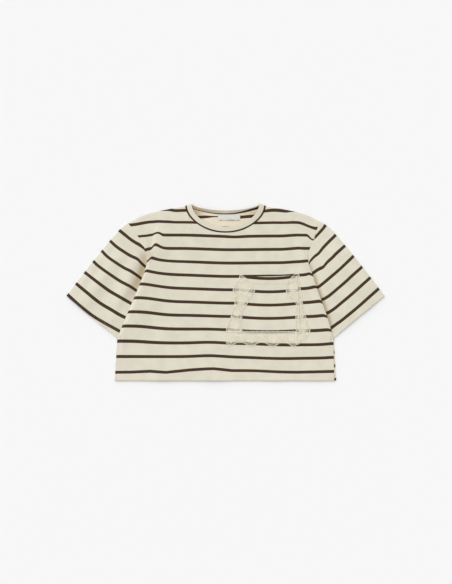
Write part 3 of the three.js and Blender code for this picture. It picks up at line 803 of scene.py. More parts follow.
def make_front(shoulder_columns=74, neck_columns=91, side_rows=33, armhole_rows=105):
    """The front is a blended grid laid over its folds, with its side edges folded under."""
    shares = edge_shares(shoulder_columns, shoulder_length, [0, 0.5, 1.2, 2.2])
    neck_line = front_neck(np.linspace(0, 1, neck_columns), seam_gap)
    top, foot = panel_ends(shares, neck_line, front_hem_left)
    hole_shares = np.concatenate([np.linspace(1, 0.02, armhole_rows), [0.012, 0.006, 0.002, 0]])
    side_shares = np.linspace(0, 1, side_rows + 1)[:-1, None]
    edges = []
    for armhole, low in ((armhole_right, foot[0]), (armhole_left, foot[-1])):
        holes = armhole_line(armhole, hole_shares, seam_gap)
        edges.append(np.vstack([low + (holes[0] - low) * side_shares, holes]))
    top[0], top[-1] = edges[0][-1], edges[1][-1]
    plan = blend(foot, top, *edges)
    x, y = plan[..., 0], plan[..., 1]
    height = front_surface(x, y) + hem_form(y - hem_y, hem_depth) - seam_dips(plan)
    main = np.dstack([plan, np.maximum(height, front_lowest)])
    folds = []
    for edge, beside, armhole in ((main[0], main[1], armhole_right), (main[-1], main[-2], armhole_left)):
        tuck = np.concatenate([np.zeros(side_rows), tuck_at(armhole, hole_shares)])
        seat = front_seat + (seat_on_sleeve - front_seat) * soft_step(tuck / full_tuck)
        folds.append(folded_edge(edge, beside, np.maximum(tuck - tuck_short, least_tuck), seat))
    (right, right_opened), (left, left_opened) = folds
    grid = np.concatenate([right[::-1], main, left])
    px, py = np.concatenate([right_opened[::-1], plan, left_opened]).reshape(-1, 2).T / mm
    uv = np.column_stack([px, front_stripes(px, py)])
    # Painted shade in the dent above the right armpit
    painted_shade = bells(px, py, front_painted_shade)
    return cloth_piece("front_panel", grid, cloth_thickness, [jersey_face, jersey_inside], uv, painted_shade)


def hem_rows():
    """The two rows of stitches above the front's hem, from side to side."""
    x = np.linspace(-hem_half_width, front_hem_left, 400)[3:-3]
    rows = []
    for above in (hem_depth, hem_depth - row_gap):
        y = np.full(len(x), hem_y + above)
        face = front_surface(x, y) + hem_form(y - hem_y, hem_depth) + cloth_thickness / 2
        rows.append(stitch_shape(np.column_stack([x, y, face])))
    return rows


front = make_front()
sew_on(front, "striped_jersey", "front")
front_stitches = join_shapes("front_hem_stitches", hem_rows(), [cream_thread])
sew_on(front_stitches, "striped_jersey")

# Sleeves
# Each short sleeve is one piece of the same jersey, its stripes running round the arm. It lies
# as a flat tube, folded along its upper edge, with its underarm tucked below the front.
sleeve_layers = (0.56 * mm, 2.1 * mm)
sleeve_edge = [(244.2, 149.6), (261.1, 131.2), (308.2, 74.6), (373, -9.4)]
cuff_bow = {"right": 0.6 * mm, "left": -0.8 * mm}
cuff_depth = 14 * mm
stitch_sunk = 0.1 * mm
sleeve_bag = 0.9 * mm
sleeve_fold_width = 9 * mm
sleeve_radius = (sleeve_layers[1] - sleeve_layers[0]) / 2
sleeve_middle = sum(sleeve_layers) / 2

# For each sleeve: the stripes' angle to the hem in degrees, where the first one lies and how
# far apart they are in millimetres
sleeve_stripes = {
    "right": {"angle": 35.0, "first": 23.2, "pitch": 32.8},
    "left": {"angle": 40.0, "first": 30.8, "pitch": 32.6},
}
# How far each of the seven stripes hangs towards the cuff, in millimetres, at these shares of
# its way from the sleeve's upper edge to the armhole
hang_shares = (0, 0.25, 0.5, 0.75, 0.88, 1)
stripe_hang = {
    "right": [(1.2, 2.2, 3.5, 2.7, 1.5, 3.4), (1.5, 3.9, 3.0, -0.8, 2.3, 3.9),
              (-1.2, 2.9, 2.1, -1.4, -1.8, -1), (-2.7, 0, -0.1, -2.6, -4.4, -4.7),
              (-2.5, -1.2, -0.1, -2.4, -3.7, -5.2), (-1.9, 0.8, 3.0, 0.7, -0.3, -2.7),
              (-2.1, 2.4, 4.6, 2.2, 0, -1.7)],
    "left": [(0, 2.1, 3.6, 4.6, 5.8, 6.0), (0.5, 2.1, 4.1, 5.1, 4.5, 0.6),
             (1.2, 1.9, 3.8, 3.6, 2.6, 0.9), (0.2, 2.1, 3.3, 3.4, 3.5, 0.4),
             (0, 0.7, 2.1, 2.3, 1.2, -2.6), (-0.9, 0, 0.9, 0.8, 0, -3.3),
             (-0.9, 0, 0.9, 0.3, -1.1, -2)],
}
# Where stripes are drawn down into the left armpit and by a crease beside it: x, y, how wide and
# high each pull is, and how far it moves them towards the cuff, in millimetres
sleeve_pulls = {
    "right": [],
    "left": [(199, 80, 6, 20, 5), (194, 72, 2.4, 20, 12), (217, 92, 8, 10, 3.4), (229, 61, 5.5, 10, 3.2)],
}
# Soft folds of the sleeves, as on the front
sleeve_folds = {
    "right": [(13, 13, [(-232, 118, 1.0), (-262, 70, 2.8), (-308, 5, 2.6), (-330, -28, 1.6)]),
              (12, 7, [(-206, 96, 0.6), (-216, 60, 2.4), (-240, -4, 3.0), (-266, -60, 1.4)]),
              (9, 9, [(-250, 138, 0.4), (-290, 88, 1.4), (-344, 16, 1.0)])],
    "left": [(13, 13, [(232, 120, 1.2), (262, 72, 2.8), (306, 8, 2.4), (330, -28, 1.4)]),
             (7, 12, [(210, 92, 0.8), (222, 48, 2.4), (244, -14, 2.6), (268, -66, 1.0)]),
             (9, 9, [(246, 140, 0.4), (288, 88, 1.2), (344, 16, 1.0)])],
}
# Painted shade on each sleeve beside the front's folded edge: how far from the edge it is deepest, how
# wide it is towards the body and the cuff in millimetres, and how deep it is at each height
sleeve_painted_shade_table = {
    "right": {"from_edge": 8, "inner": 9, "outer": 7.5, "y": [-30, 0, 20, 40, 60, 85, 100],
              "deep": [0, 0.55, 0.9, 1, 1, 0.6, 0]},
    "left": {"from_edge": 1.5, "inner": 9, "outer": 4.2, "y": [-100, -75, -40, 0, 30, 60, 76],
             "deep": [0, 0.85, 1, 1, 0.85, 0.45, 0]},
}


def hang_of_stripes(side_name, down, across, edge_line, hole_line):
    """How far the stripes hang at each place: read off the table at the place's stripe and its
    share of the way from the upper edge to the armhole, and blended between two stripes."""
    first_edge, last_edge = (np.interp(down, line[:, 0], line[:, 1]) for line in (edge_line, hole_line))
    share = np.clip((across - first_edge) / np.maximum(last_edge - first_edge, 1), 0, 1)
    stripes = sleeve_stripes[side_name]
    rows = stripe_hang[side_name]
    place = np.clip((down - stripes["first"]) / stripes["pitch"], 0, len(rows) - 1)
    lines = [smooth_line(list(zip(hang_shares, row)), np.linspace(0, 1, 60)) for row in rows]
    hangs = [np.interp(share, line[:, 0], line[:, 1]) for line in lines]
    return sum(hang * np.clip(1 - np.abs(place - number), 0, 1) for number, hang in enumerate(hangs))


def sleeve_painted_shade(side_name, cut, hole):
    """Share of painted shade in the sleeve's valley: a bell of the distance from the armhole line, with a
    width for either side of its middle, times its depth at that height."""
    shade = sleeve_painted_shade_table[side_name]
    away = np.full(len(cut), np.inf)
    for place in hole:
        away = np.minimum(away, np.hypot(*(cut - place).T))
    outside = (cut[:, 0] - np.interp(-cut[:, 1], -hole[:, 1], hole[:, 0])) * np.sign(hole[0, 0]) > 0
    past = np.where(outside, away, -away) - shade["from_edge"]
    wide = np.where(past > 0, shade["outer"], shade["inner"])
    return np.interp(cut[:, 1], shade["y"], shade["deep"]) * np.exp(-0.5 * (past / wide) ** 2)


def sleeve_plan(armhole, side_name, ring, along):
    """Plan of one layer of a sleeve, between its body end, cuff, upper edge and underarm, at
    shares down the ring and along the sleeve. Returns it with its upper edge as a fine line."""
    side = np.sign(armhole[0][0])
    body_end = armhole_line(armhole, ring * sewn_share, 0, True)
    rows = [armhole[0][:2]] + [(side * x, y) for x, y in sleeve_edge]
    fine = smooth_line(np.array(rows) * mm, np.linspace(0, 1, 400))
    run = np.concatenate([[0], np.cumsum(np.linalg.norm(np.diff(fine, axis=0), axis=1))])
    upper_edge = np.column_stack([np.interp(along * run[-1], run, fine[:, k]) for k in (0, 1)])
    tip, foot = upper_edge[-1], armhole_line(armhole, [1.0])[0]
    to_foot = (foot - tip) / np.linalg.norm(foot - tip)
    outward = np.array([-to_foot[1] * side, to_foot[0] * side])
    bow = cuff_bow[side_name] * np.sin(np.pi * ring)[:, None]
    cuff = tip + (foot - tip) * ring[:, None] + outward * bow
    underarm = body_end[-1] + (foot - body_end[-1]) * along[:, None]
    return between(body_end, cuff, upper_edge, underarm, ring, along), fine


def sleeve_fold(edge, beside, turns):
    """Columns that carry a sleeve round its folded edge from one layer to the other."""
    away = edge - beside
    away /= np.linalg.norm(away, axis=1)[:, None]
    return np.array([np.column_stack([edge + away * (sleeve_radius * np.cos(turn)),
                                      np.full(len(edge), sleeve_middle + sleeve_radius * np.sin(turn))])
                     for turn in turns])


def sleeve_map(side_name, cut, upper_edge, hole):
    """The cloth's map: millimetres along a stripe, and the count of stripes from the shoulder
    towards the cuff, less how far they hang and are drawn."""
    side = np.sign(hole[0, 0])
    stripes = sleeve_stripes[side_name]
    angle = np.radians(stripes["angle"])
    turned = np.array([[side * np.sin(angle), -side * np.cos(angle)], [-np.cos(angle), -np.sin(angle)]])
    down, across = (cut @ turned).T
    hang = hang_of_stripes(side_name, down, across, upper_edge @ turned, hole @ turned)
    hang += bells(*cut.T, sleeve_pulls[side_name])
    return np.column_stack([across, (down - hang - stripes["first"]) / stripes["pitch"]])


def cuff_row(inside, from_cuff, over):
    """A row of stitches round the cuff, at a distance inside its edge."""
    row = [[np.interp(-inside, -away, line[:, k]) for k in range(3)]
           for away, line in zip(from_cuff[2:-2], over[2:-2])]
    return stitch_shape(np.array(row) + (0, 0, cloth_thickness / 2 - stitch_sunk))


def make_sleeve(armhole, side_name):
    """A sleeve is a ring of places carried from the armhole to the cuff: an upper layer that
    bags a little over its folds, a flat lower layer, and half a turn at either folded edge."""
    ring = np.linspace(0, 1, 57)
    along = np.concatenate([[0, 0.004, 0.01, 0.02], np.linspace(0.035, 1, 78)])
    plan, upper_edge = sleeve_plan(armhole, side_name, ring, along)
    x, y = plan[..., 0], plan[..., 1]
    width = np.linalg.norm(plan[-1] - plan[0], axis=1)
    flatness = soft_step(np.minimum(ring, 1 - ring)[:, None] * width / sleeve_fold_width)
    raised = ridge_heights(x, y, sleeve_folds[side_name]) + slack(x, y)
    raised += sleeve_bag * np.sin(np.pi * ring)[:, None]
    from_cuff = np.linalg.norm(plan - plan[:, -1:], axis=2)
    rise = (raised * soft_step((along - 0.03) / 0.3) + hem_form(from_cuff, cuff_depth)) * flatness
    over = np.dstack([plan, sleeve_layers[1] + rise])
    under = np.dstack([plan, np.full(x.shape, sleeve_layers[0])])
    turns = np.radians([54, 27, 0, -27, -54])
    grid = np.concatenate([over, sleeve_fold(plan[-1], plan[-2], turns),
                           under[::-1], sleeve_fold(plan[0], plan[1], turns[::-1])])
    cut, height = grid.reshape(-1, 3)[:, :2] / mm, grid.reshape(-1, 3)[:, 2]
    hole = armhole_line(armhole, np.linspace(0, 1, 160)) / mm
    uv = sleeve_map(side_name, cut, upper_edge / mm, hole)
    # Painted shade on the sleeve's upper layer beside the front's folded edge
    painted_shade = sleeve_painted_shade(side_name, cut, hole) * (height > sleeve_middle)
    cloth = cloth_piece(f"sleeve_{side_name}_cloth", grid, cloth_thickness, [jersey_face, jersey_inside],
                        uv, painted_shade, wraps=True, turned=side_name == "right")
    rows = [cuff_row(inside, from_cuff, over) for inside in (cuff_depth, cuff_depth - row_gap)]
    return cloth, join_shapes(f"sleeve_{side_name}_stitches", rows, [cream_thread])


for side_name, armhole in (("right", armhole_right), ("left", armhole_left)):
    sleeve, cuff_stitches = make_sleeve(armhole, side_name)
    sew_on(sleeve, "striped_jersey", f"sleeve_{side_name}")
    sew_on(cuff_stitches, "striped_jersey")

# Neckband
# One strip of jersey, folded lengthwise and sewn round the neck, with a brown stripe along its
# seam. Its front half lies flat and its back half leans up from the back neck.
band_thickness = 1.7 * mm
band_free = (80 * mm, 206 * mm)
band_front_drop = 54 * mm
band_front_fullness = 1.12
band_back_drop = 14.8 * mm
band_back_fullness = 1.25
band_low = 0.9 * mm
band_high = 3.0 * mm
band_front_lift = 1.4 * mm
band_back_rise = 6.2 * mm
band_point_rise = 3.0 * mm
band_stripe_share = 0.24
band_width = 14.0
band_turn = (0.42, 0.9)
# Along the back half: how much wider the brown stripe is drawn, at the right end partly as painted shadow
# of the gap under the band, and how deep the painted shade is
band_widening = {"x": [-80, -20, 20, 45, 70], "by": [-0.4, 0, 0.2, 1.2, 2.4]}
band_painted_shade = {"x": [-85, -45, 0, 45, 85], "deep": [1, 0.6, 0, 0.35, 0.9]}


def band_material():
    """The jersey again: brown from the seam up to the stripe's share of the band's width, where
    the map's v is 0 at the seam and 1 at the free edge."""
    finish, v, _, fuzz, wale = start_jersey("band_jersey", band_width)
    frayed = v + (fuzz - 0.5) * 0.05
    share = 1 - finish.soft_step(frayed, band_stripe_share - 0.02, band_stripe_share + 0.02)
    pale = finish.mix(finish.soft_step(fuzz, 0.3, 0.7), cream, darker(cream, 0.95))
    colour_jersey(finish, share, pale, stripe_brown)
    finish.bump(knit_strength, knit_relief, wale + (fuzz - 0.5) * 0.5)
    return finish.material


def over_shoulder(side, turns):
    """Seam and free edge of the band where it turns over at a shoulder point, from the height of
    its front half to that of its back half."""
    outward = np.array([side * band_turn[0], band_turn[1]])
    outward /= np.linalg.norm(outward)
    radius = (band_high - band_low) / 2
    lines = []
    for (x, y), rise in ((neck_point, 0), (band_free, band_point_rise)):
        plan = np.array([side * x, y]) + outward * (radius * np.cos(turns))[:, None]
        lines.append(np.column_stack([plan, band_low + rise + radius * (1 + np.sin(turns))]))
    return lines


def make_band(columns=111, width_rows=11):
    """The band is a strip between its seam line and its free edge, carried round both halves of
    the neck and turned over at the shoulder points."""
    shares = np.linspace(0, 1, columns)
    turn = np.pi * shares
    lift = np.sin(turn)
    at_points = band_point_rise * np.cos(turn) ** 4
    front_seam = np.column_stack([front_neck(shares), np.full(columns, band_high)])
    front_free = np.column_stack([-band_free[0] * np.cos(turn),
                                  band_free[1] - band_front_drop * lift ** band_front_fullness,
                                  band_high + band_front_lift * lift ** 2 + at_points])
    back_seam = np.column_stack([back_neck(shares), np.full(columns, band_low)])
    back_free = np.column_stack([-band_free[0] * np.cos(turn),
                                 band_free[1] - band_back_drop * lift ** band_back_fullness,
                                 band_low + band_back_rise * lift ** 3 + at_points])
    turns = np.radians([60, 30, 0, -30, -60])
    left_seam, left_free = over_shoulder(1, turns)
    right_seam, right_free = over_shoulder(-1, turns[::-1])
    seam = np.vstack([front_seam, left_seam, back_seam[::-1], right_seam])
    free = np.vstack([front_free, left_free, back_free[::-1], right_free])
    across = np.linspace(0, 1, width_rows)
    grid = seam[:, None] + (free - seam)[:, None] * across[None, :, None]
    run = np.concatenate([[0], np.cumsum(np.linalg.norm(np.diff((seam + free) / 2, axis=0), axis=1))])
    px = seam[:, 0] / mm
    on_back = np.zeros(len(seam))
    on_back[columns + len(turns):-len(turns)] = 1
    # The stripe is drawn wider towards the back's right end, partly as painted shadow of the gap under the
    # band
    widening = 1 + on_back * np.interp(px, band_widening["x"], band_widening["by"])
    uv = np.column_stack([np.repeat(run / mm, width_rows), (across[None] / widening[:, None]).ravel()])
    # Painted shade on the back half of the band near both shoulder points
    painted_shade = np.repeat(on_back * np.interp(px, band_painted_shade["x"], band_painted_shade["deep"]), width_rows)
    return cloth_piece("neckband_strip", grid, band_thickness, [band_material()], uv, painted_shade,
                       wraps=True, round_steps=5)


band = make_band()
sew_on(band, "striped_jersey", "neckband")

# Label
# A small blank tape of smooth off-white weave, folded under at its ends and caught down on the
# inside of the back neck by a few stitches at its lower corners.
label_box = ((-17 * mm, 168.9 * mm), (34 * mm, 182.2 * mm))
label_height = 1.75 * mm
label_thickness = 0.45 * mm
label_bulge = 0.25 * mm
label_sag = 0.5 * mm
label_stand = 0.9 * mm
label_ripple = 0.12 * mm
label_stitch = {"length": 1.6 * mm, "gap": 0.3 * mm, "radius": 0.42 * mm}
label_row_up = 0.3 * mm
label_row_rise = 0.75 * mm
label_stitch_spans = [(-13, -8), (5, 22), (28, 33)]


def label_material():
    """Fine satin weave: thin cross ribs in the bump and a faint sheen."""
    finish = Finish("label_tape", Roughness=0.55, Sheen_Weight=0.1, Specular_IOR_Level=0.35)
    place = finish.place()
    tint = finish.noise(place, 260.0)
    finish.set(Base_Color=finish.mix(tint, linear(226, 225, 217), linear(214, 212, 203)))
    ribs = finish.waves(place, 900.0, "X") * 0.5 + finish.waves(place, 700.0, "Y") * 0.5
    finish.bump(0.3, 0.1 * mm, ribs)
    return finish.material


def make_label():
    """The tape is a flat strip whose middle stands off a little and whose ends are pulled down."""
    (x0, y0), (x1, y1) = label_box
    s, t = np.meshgrid(np.linspace(0, 1, 45), np.linspace(0, 1, 15), indexing="ij")
    x = x0 + (x1 - x0) * s + label_bulge * np.sin(np.pi * t) * (2 * s - 1)
    y = y0 + (y1 - y0) * t - label_sag * np.sin(np.pi * s) * (1 - t)
    stands = label_stand * np.sin(np.pi * s) ** 0.6 * (0.4 + 0.6 * np.sin(np.pi * t))
    grid = np.dstack([x, y, label_height + stands + label_ripple * np.sin(9 * s + 4 * t)])
    return cloth_piece("label_tape", grid, label_thickness, [label_material()])


def label_row(start, end):
    """A short row of stitches over the label's lower edge."""
    x = np.linspace(start, end, 12) * mm
    y = np.full(len(x), label_box[0][1] + label_row_up)
    face = np.full(len(x), label_height + label_row_rise)
    return stitch_shape(np.column_stack([x, y, face]), **label_stitch)


label = make_label()
sew_on(label, "label", "label")
brown_thread = thread_material("brown_thread", linear(70, 54, 40))
label_rows = [label_row(*span) for span in label_stitch_spans]
label_stitches = join_shapes("label_stitches", label_rows, [brown_thread])
sew_on(label_stitches, "label")

# Pocket
# A large patch of the same jersey on the wearer's left breast, its stripes nearly matched to the
# front's. It is sewn down round three sides below the lace, and its open mouth sags a little.
pocket_corners = {"foot": ((27, -97), (176, -97)), "mouth": ((36.5, 38), (168.2, 40))}
pocket_clear = 1.35 * mm
pocket_sag = 2.9 * mm
pocket_lift = 1.5 * mm
pocket_first_stripe = 31.6
pocket_pitch = 31.2
pocket_depth = 137 * mm
pocket_hem = 19 * mm
pocket_hem_thickness = 0.3 * mm
pocket_hem_step = 2 * mm
pocket_groove = 0.25 * mm
pocket_groove_width = 1 * mm
# Where the pocket bags: its shares across and up, how wide and high the spot is, and its height
pocket_bag = [(0.4, 0.52, 0.2, 0.16, 0.5 * mm)]
# How far the pocket's stripes rise towards its sides at its foot and at its mouth, in millimetres
pocket_side_lift = (2.6, 5.4)


def pocket_shares(x, y):
    """How far a place lies across the pocket and up it, from 0 to 1 inside it."""
    (foot_right, foot_left), (mouth_right, mouth_left) = (
        np.array(pocket_corners[k], float) * mm for k in ("foot", "mouth"))
    up = (y - foot_right[1]) / (mouth_right[1] - foot_right[1])
    first = foot_right[0] + (mouth_right[0] - foot_right[0]) * up
    last = foot_left[0] + (mouth_left[0] - foot_left[0]) * up
    return (x - first) / (last - first), up


def pocket_rise(s, t):
    """How far the pocket stands off the front: it bags a little, most of all in the top fifth
    below its mouth, and its turned-in hem is thicker down to a row of stitches in a groove."""
    middle = np.sin(np.pi * np.clip(s, 0, 1))
    rise = pocket_clear + pocket_lift * middle ** 2 * soft_step((t - 0.8) / 0.2)
    rise += bells(s, t, pocket_bag)
    below_hem = (1 - t) * pocket_depth - pocket_hem
    rise += pocket_hem_thickness * soft_step(-below_hem / pocket_hem_step)
    return rise - pocket_groove * np.exp(-0.5 * (below_hem / pocket_groove_width) ** 2)


def make_pocket(columns=81, rows=70):
    """The pocket is a grid between its foot and its sagging mouth, laid over the front."""
    up = edge_shares(rows, pocket_depth, [0, 0.5, 1.1, 2])
    s, t = np.meshgrid(np.linspace(0, 1, columns), up, indexing="ij")
    foot, mouth = (np.array(pocket_corners[k], float) * mm for k in ("foot", "mouth"))
    low = foot[0] + (foot[1] - foot[0]) * s[..., None]
    high = mouth[0] + (mouth[1] - mouth[0]) * s[..., None]
    middle = np.sin(np.pi * s)
    high[..., 1] -= pocket_sag * middle ** 0.8
    plan = low + (high - low) * t[..., None]
    x, y = plan[..., 0], plan[..., 1]
    grid = np.dstack([plan, front_surface(x, y) + pocket_rise(s, t)])
    sides_up = (pocket_side_lift[1] * t + pocket_side_lift[0] * (1 - t)) * (1 - middle)
    count = (pocket_first_stripe - y / mm + sides_up) / pocket_pitch
    uv = np.column_stack([(x / mm).ravel(), count.ravel()])
    return cloth_piece("pocket_patch", grid, cloth_thickness, [jersey_face, jersey_inside], uv), grid, t


def mouth_row(grid, up):
    """The row of stitches that holds down the hem of the pocket's mouth."""
    share = 1 - pocket_hem / pocket_depth
    line = [[np.interp(share, shares, column[:, k]) for k in range(3)]
            for shares, column in zip(up[2:-2], grid[2:-2])]
    return stitch_shape(np.array(line) + (0, 0, cloth_thickness / 2))


pocket, pocket_grid, pocket_up = make_pocket()
sew_on(pocket, "striped_jersey", "pocket")
pocket_stitches = join_shapes("pocket_stitches", [mouth_row(pocket_grid, pocket_up)], [cream_thread])
sew_on(pocket_stitches, "striped_jersey")

# Lace
# Three strips of cream cotton lace are sewn over the pocket's two sides and its foot: a fine net
# with thick flowers and leaves, a corded edge, and small loops along the free edges.
lace_thickness = 0.35 * mm
lace_clear = 0.1 * mm
net_rise = 0.05 * mm
crossing_rise = 0.07 * mm
pattern_rise = 0.20 * mm
net_pitch = 1.75
net_turns = 12
edge_cord_radius = 0.38 * mm
edge_cord_lift = 0.62 * mm
motif_cord_radius = 0.24 * mm
motif_cord_lift = 0.85 * mm
loop_radius = 1.35
loop_pitch = 3.4
loop_cord_radius = 0.26 * mm
loop_cord_lift = 0.45 * mm
# Half a leaf's width as a share of its length
leaf_half_width = 0.26
# How open the net's cells are as shares of their width: in the plain net and how much that
# varies, in flowers and leaves, more along free edges, and the least and the most
net_open = 0.79
net_varies = 0.07
pattern_open = 0.60
edge_open = 0.22
least_open = 0.12
most_open = 0.89
# The foot strip has upright bars of closer net above, and is more open below
foot_bars = 0.10
foot_bar_pitch = 3.6
foot_open_below = 0.16
# How the lace comes down beside the pocket's sides and foot, and beside its mouth: over what
# length, and at what share of it the pocket's edge lies
side_slope = (2.2 * mm, 0.9)
mouth_slope = (3 * mm, 0.6)

# Edges of the two upright strips: y, then x on the wearer's right and left, in millimetres
lace_edges = {
    "inner": [(41, 34.5, 38), (36.5, 34, 40.5), (30, 30.5, 50), (24, 27, 58), (5, 18.5, 68.5),
              (-10, 21, 60), (-27, 22.4, 50.6), (-43, 17, 41), (-59, 13.4, 36.5), (-75, 6, 38),
              (-92.8, 2, 37)],
    "outer": [(43, 165, 172), (24, 147, 174), (5, 143, 175.5), (-10, 148, 178), (-27, 167, 181),
              (-43, 165, 184), (-59, 166, 188), (-75, 165, 194), (-91, 166.5, 198),
              (-108, 166.5, 187), (-123, 166.5, 171)],
}
foot_lace = {"right": 1.0, "left": 165.8, "top": -93.4, "top_wave": 0.9, "edge": -123.4,
             "scallop": 5.2, "narrow": 1.7, "pitch": 51.0, "first_tip": 9.0, "corner_lift": 10,
             "corner_run": 6}

# Flowers: x, y and radius; leaves: x, y, length and turn in degrees. Millimetres
lace_flowers = {
    "inner": [(43, 6, 13), (37, -24, 8.5), (27, -50, 8), (21, -78, 11)],
    "outer": [(160, 9, 10.5), (174, -24, 5.5), (176, -56, 8), (181, -85, 10.5), (174, -108, 5.5)],
    "foot": [(11, -111, 9), (60, -110, 10.5), (111, -110, 10.5), (157, -110, 8)],
}
lace_leaves = {
    "inner": [(42, 22, 11, 80), (32, 26, 7, 100), (27, 17, 10, 160), (58, 14, 8, 30), (29, -8, 10, 200),
              (54, -8, 9, -30), (26, -36, 9, 120), (43, -38, 9, 60), (20, -62, 9, 150),
              (33, -64, 9, 40), (12, -90, 8, 200), (33, -89, 9, -20)],
    "outer": [(166, 29, 9, 80), (155, 24, 9, 130), (171, 22, 8, 60), (154, -5, 9, 230), (168, -7, 8, -60),
              (177, -38, 9, 80), (172, -42, 8, 110), (171, -70, 8, 120), (186, -70, 8, 50),
              (172, -97, 8, 220), (190, -97, 8, -40), (179, -104, 7, -80)],
    "foot": [(26, -103, 9, 20), (36.5, -109, 11, 90), (47, -103, 9, 160), (37, -100, 8, 0),
             (75, -103, 9, 20), (85, -109, 11, 90), (95, -103, 9, 160), (85, -100, 8, 0),
             (123, -103, 9, 20), (133.5, -109, 11, 90), (144, -103, 9, 160), (134, -100, 8, 0)],
}


def lace_material():
    """Cotton thread: slanting plies and fine noise in the bump, and a faint change of tone."""
    finish = Finish("lace_cotton", Roughness=0.85, Sheen_Weight=0.15, Sheen_Roughness=0.5,
                    Specular_IOR_Level=0.25)
    place = finish.place()
    tone = finish.soft_step(finish.noise(place, 90.0), 0.35, 0.65)
    finish.set(Base_Color=finish.mix(tone, linear(253, 247, 230), linear(249, 242, 219)))
    relief = finish.waves(place, 620.0, distortion=2.0) * 0.6 + finish.noise(place, 2200.0) * 0.4
    finish.bump(0.5, 0.12 * mm, relief)
    return finish.material


lace_cotton = lace_material()


def lace_ground(x, y):
    """Height of what the lace lies on: the front, and the pocket where it is below the lace."""
    s, t = pocket_shares(x, y)
    inside = 1.0
    for share, slope in ((s, side_slope), (1 - s, side_slope), (t, side_slope), (1 - t, mouth_slope)):
        inside = inside * soft_step(share * pocket_depth / slope[0] + slope[1])
    return front_surface(x, y) + inside * pocket_rise(s, np.clip(t, 0, 1)) + 0.5 * cloth_thickness


def strip_edges(strip):
    """The two long edges of an upright strip as fine lines from its top to its foot."""
    shares = np.linspace(0, 1, 240)
    rows = np.array(lace_edges[strip], float)
    right = smooth_line(rows[:, [1, 0]], shares)
    left = smooth_line(rows[:, [2, 0]], shares)
    return right, left


def foot_edge(x):
    """Lower edge of the foot strip: even scallops, lifted at the wearer's right corner."""
    turn = 2 * np.pi * (x - foot_lace["first_tip"]) / foot_lace["pitch"]
    wave = foot_lace["scallop"] * (2 * (0.5 + 0.5 * np.cos(turn)) ** foot_lace["narrow"] - 1)
    corner = foot_lace["corner_lift"] * np.exp(-(x - foot_lace["right"]) / foot_lace["corner_run"])
    return foot_lace["edge"] - wave + corner


def strip_outline(strip):
    """Closed outline of a strip in millimetres."""
    if strip == "foot":
        x = np.linspace(foot_lace["left"], foot_lace["right"], 260)
        top_x = np.linspace(foot_lace["right"], foot_lace["left"], 160)
        top = foot_lace["top"] + foot_lace["top_wave"] * np.sin(0.7 * top_x) * np.sin(0.19 * top_x)
        return np.vstack([np.column_stack([x, foot_edge(x)]), np.column_stack([top_x, top])])
    right, left = strip_edges(strip)
    return np.vstack([right, left[::-1]])


def inside_outline(points, outline):
    """Whether each point lies inside a closed outline: it crosses the outline an odd number of
    times on its way to the left."""
    x, y = points[:, :1], points[:, 1:2]
    start, end = outline, np.roll(outline, -1, 0)
    crosses = (start[:, 1] > y) != (end[:, 1] > y)
    run = np.where(end[:, 1] == start[:, 1], 1e-9, end[:, 1] - start[:, 1])
    at = start[:, 0] + (y - start[:, 1]) * (end[:, 0] - start[:, 0]) / run
    return (np.sum(crosses & (x < at), axis=1) % 2) == 1


def flower_radius(angle, radius):
    """Outline of a flower with five round petals: its radius swells and shrinks five times."""
    return radius * (0.6 + 0.4 * np.abs(np.cos(2.5 * angle)) ** 0.6)


def leaf_line(x, y, length, turn, count=28):
    """Closed outline of a pointed leaf that starts at a place and lies along a direction."""
    share = np.linspace(0, 2, count, endpoint=False)
    along = np.where(share < 1, share, 2 - share) * length
    across = np.where(share < 1, 1, -1) * leaf_half_width * length * np.sin(np.pi * along / length) ** 0.8
    angle = np.radians(turn)
    return np.column_stack([x + along * np.cos(angle) - across * np.sin(angle),
                            y + along * np.sin(angle) + across * np.cos(angle)])


def thickness_of_pattern(strip, points):
    """1 inside a flower or leaf of the strip, 0 in the plain net, with soft edges."""
    solid = np.zeros(len(points))
    for x, y, radius in lace_flowers[strip]:
        away = points - (x, y)
        distance = np.hypot(*away.T)
        edge = flower_radius(np.arctan2(away[:, 1], away[:, 0]), radius)
        ring = np.abs(distance - 0.3 * radius) < 0.09 * radius
        solid = np.maximum(solid, np.clip((edge - distance) / 1.2 + 0.5, 0, 1) * np.where(ring, 0.5, 1))
    for x, y, length, turn in lace_leaves[strip]:
        angle = np.radians(turn)
        away = points - (x, y)
        along = (away @ (np.cos(angle), np.sin(angle))) / length
        across = np.abs(away @ (-np.sin(angle), np.cos(angle)))
        half = leaf_half_width * length * np.sin(np.pi * np.clip(along, 0, 1)) ** 0.8
        solid = np.maximum(solid, np.clip((half - across) / 1.0 + 0.5, 0, 1) * (half > 0))
    return solid


def hole_size(strip, points, outline):
    """Share of each net cell that is open: less in the flowers and leaves, more near free edges."""
    pattern = thickness_of_pattern(strip, points)
    step = points[:, None, :] - outline[None, ::4, :]
    from_edge = np.sqrt((step ** 2).sum(-1)).min(1)
    net = net_open + net_varies * np.sin(points[:, 0] * 1.9) * np.sin(points[:, 1] * 0.45)
    net = net + edge_open * (1 - soft_step((from_edge - 1.5) / 3.5))
    if strip == "foot":
        bars = foot_bars * (np.cos(2 * np.pi * points[:, 0] / foot_bar_pitch) - 1)
        above = soft_step((points[:, 1] + 104) / 4)
        net = net + bars * above + foot_open_below * (1 - soft_step((points[:, 1] + 121) / 7))
    return np.clip(net * (1 - pattern) + pattern_open * pattern, least_open, most_open)


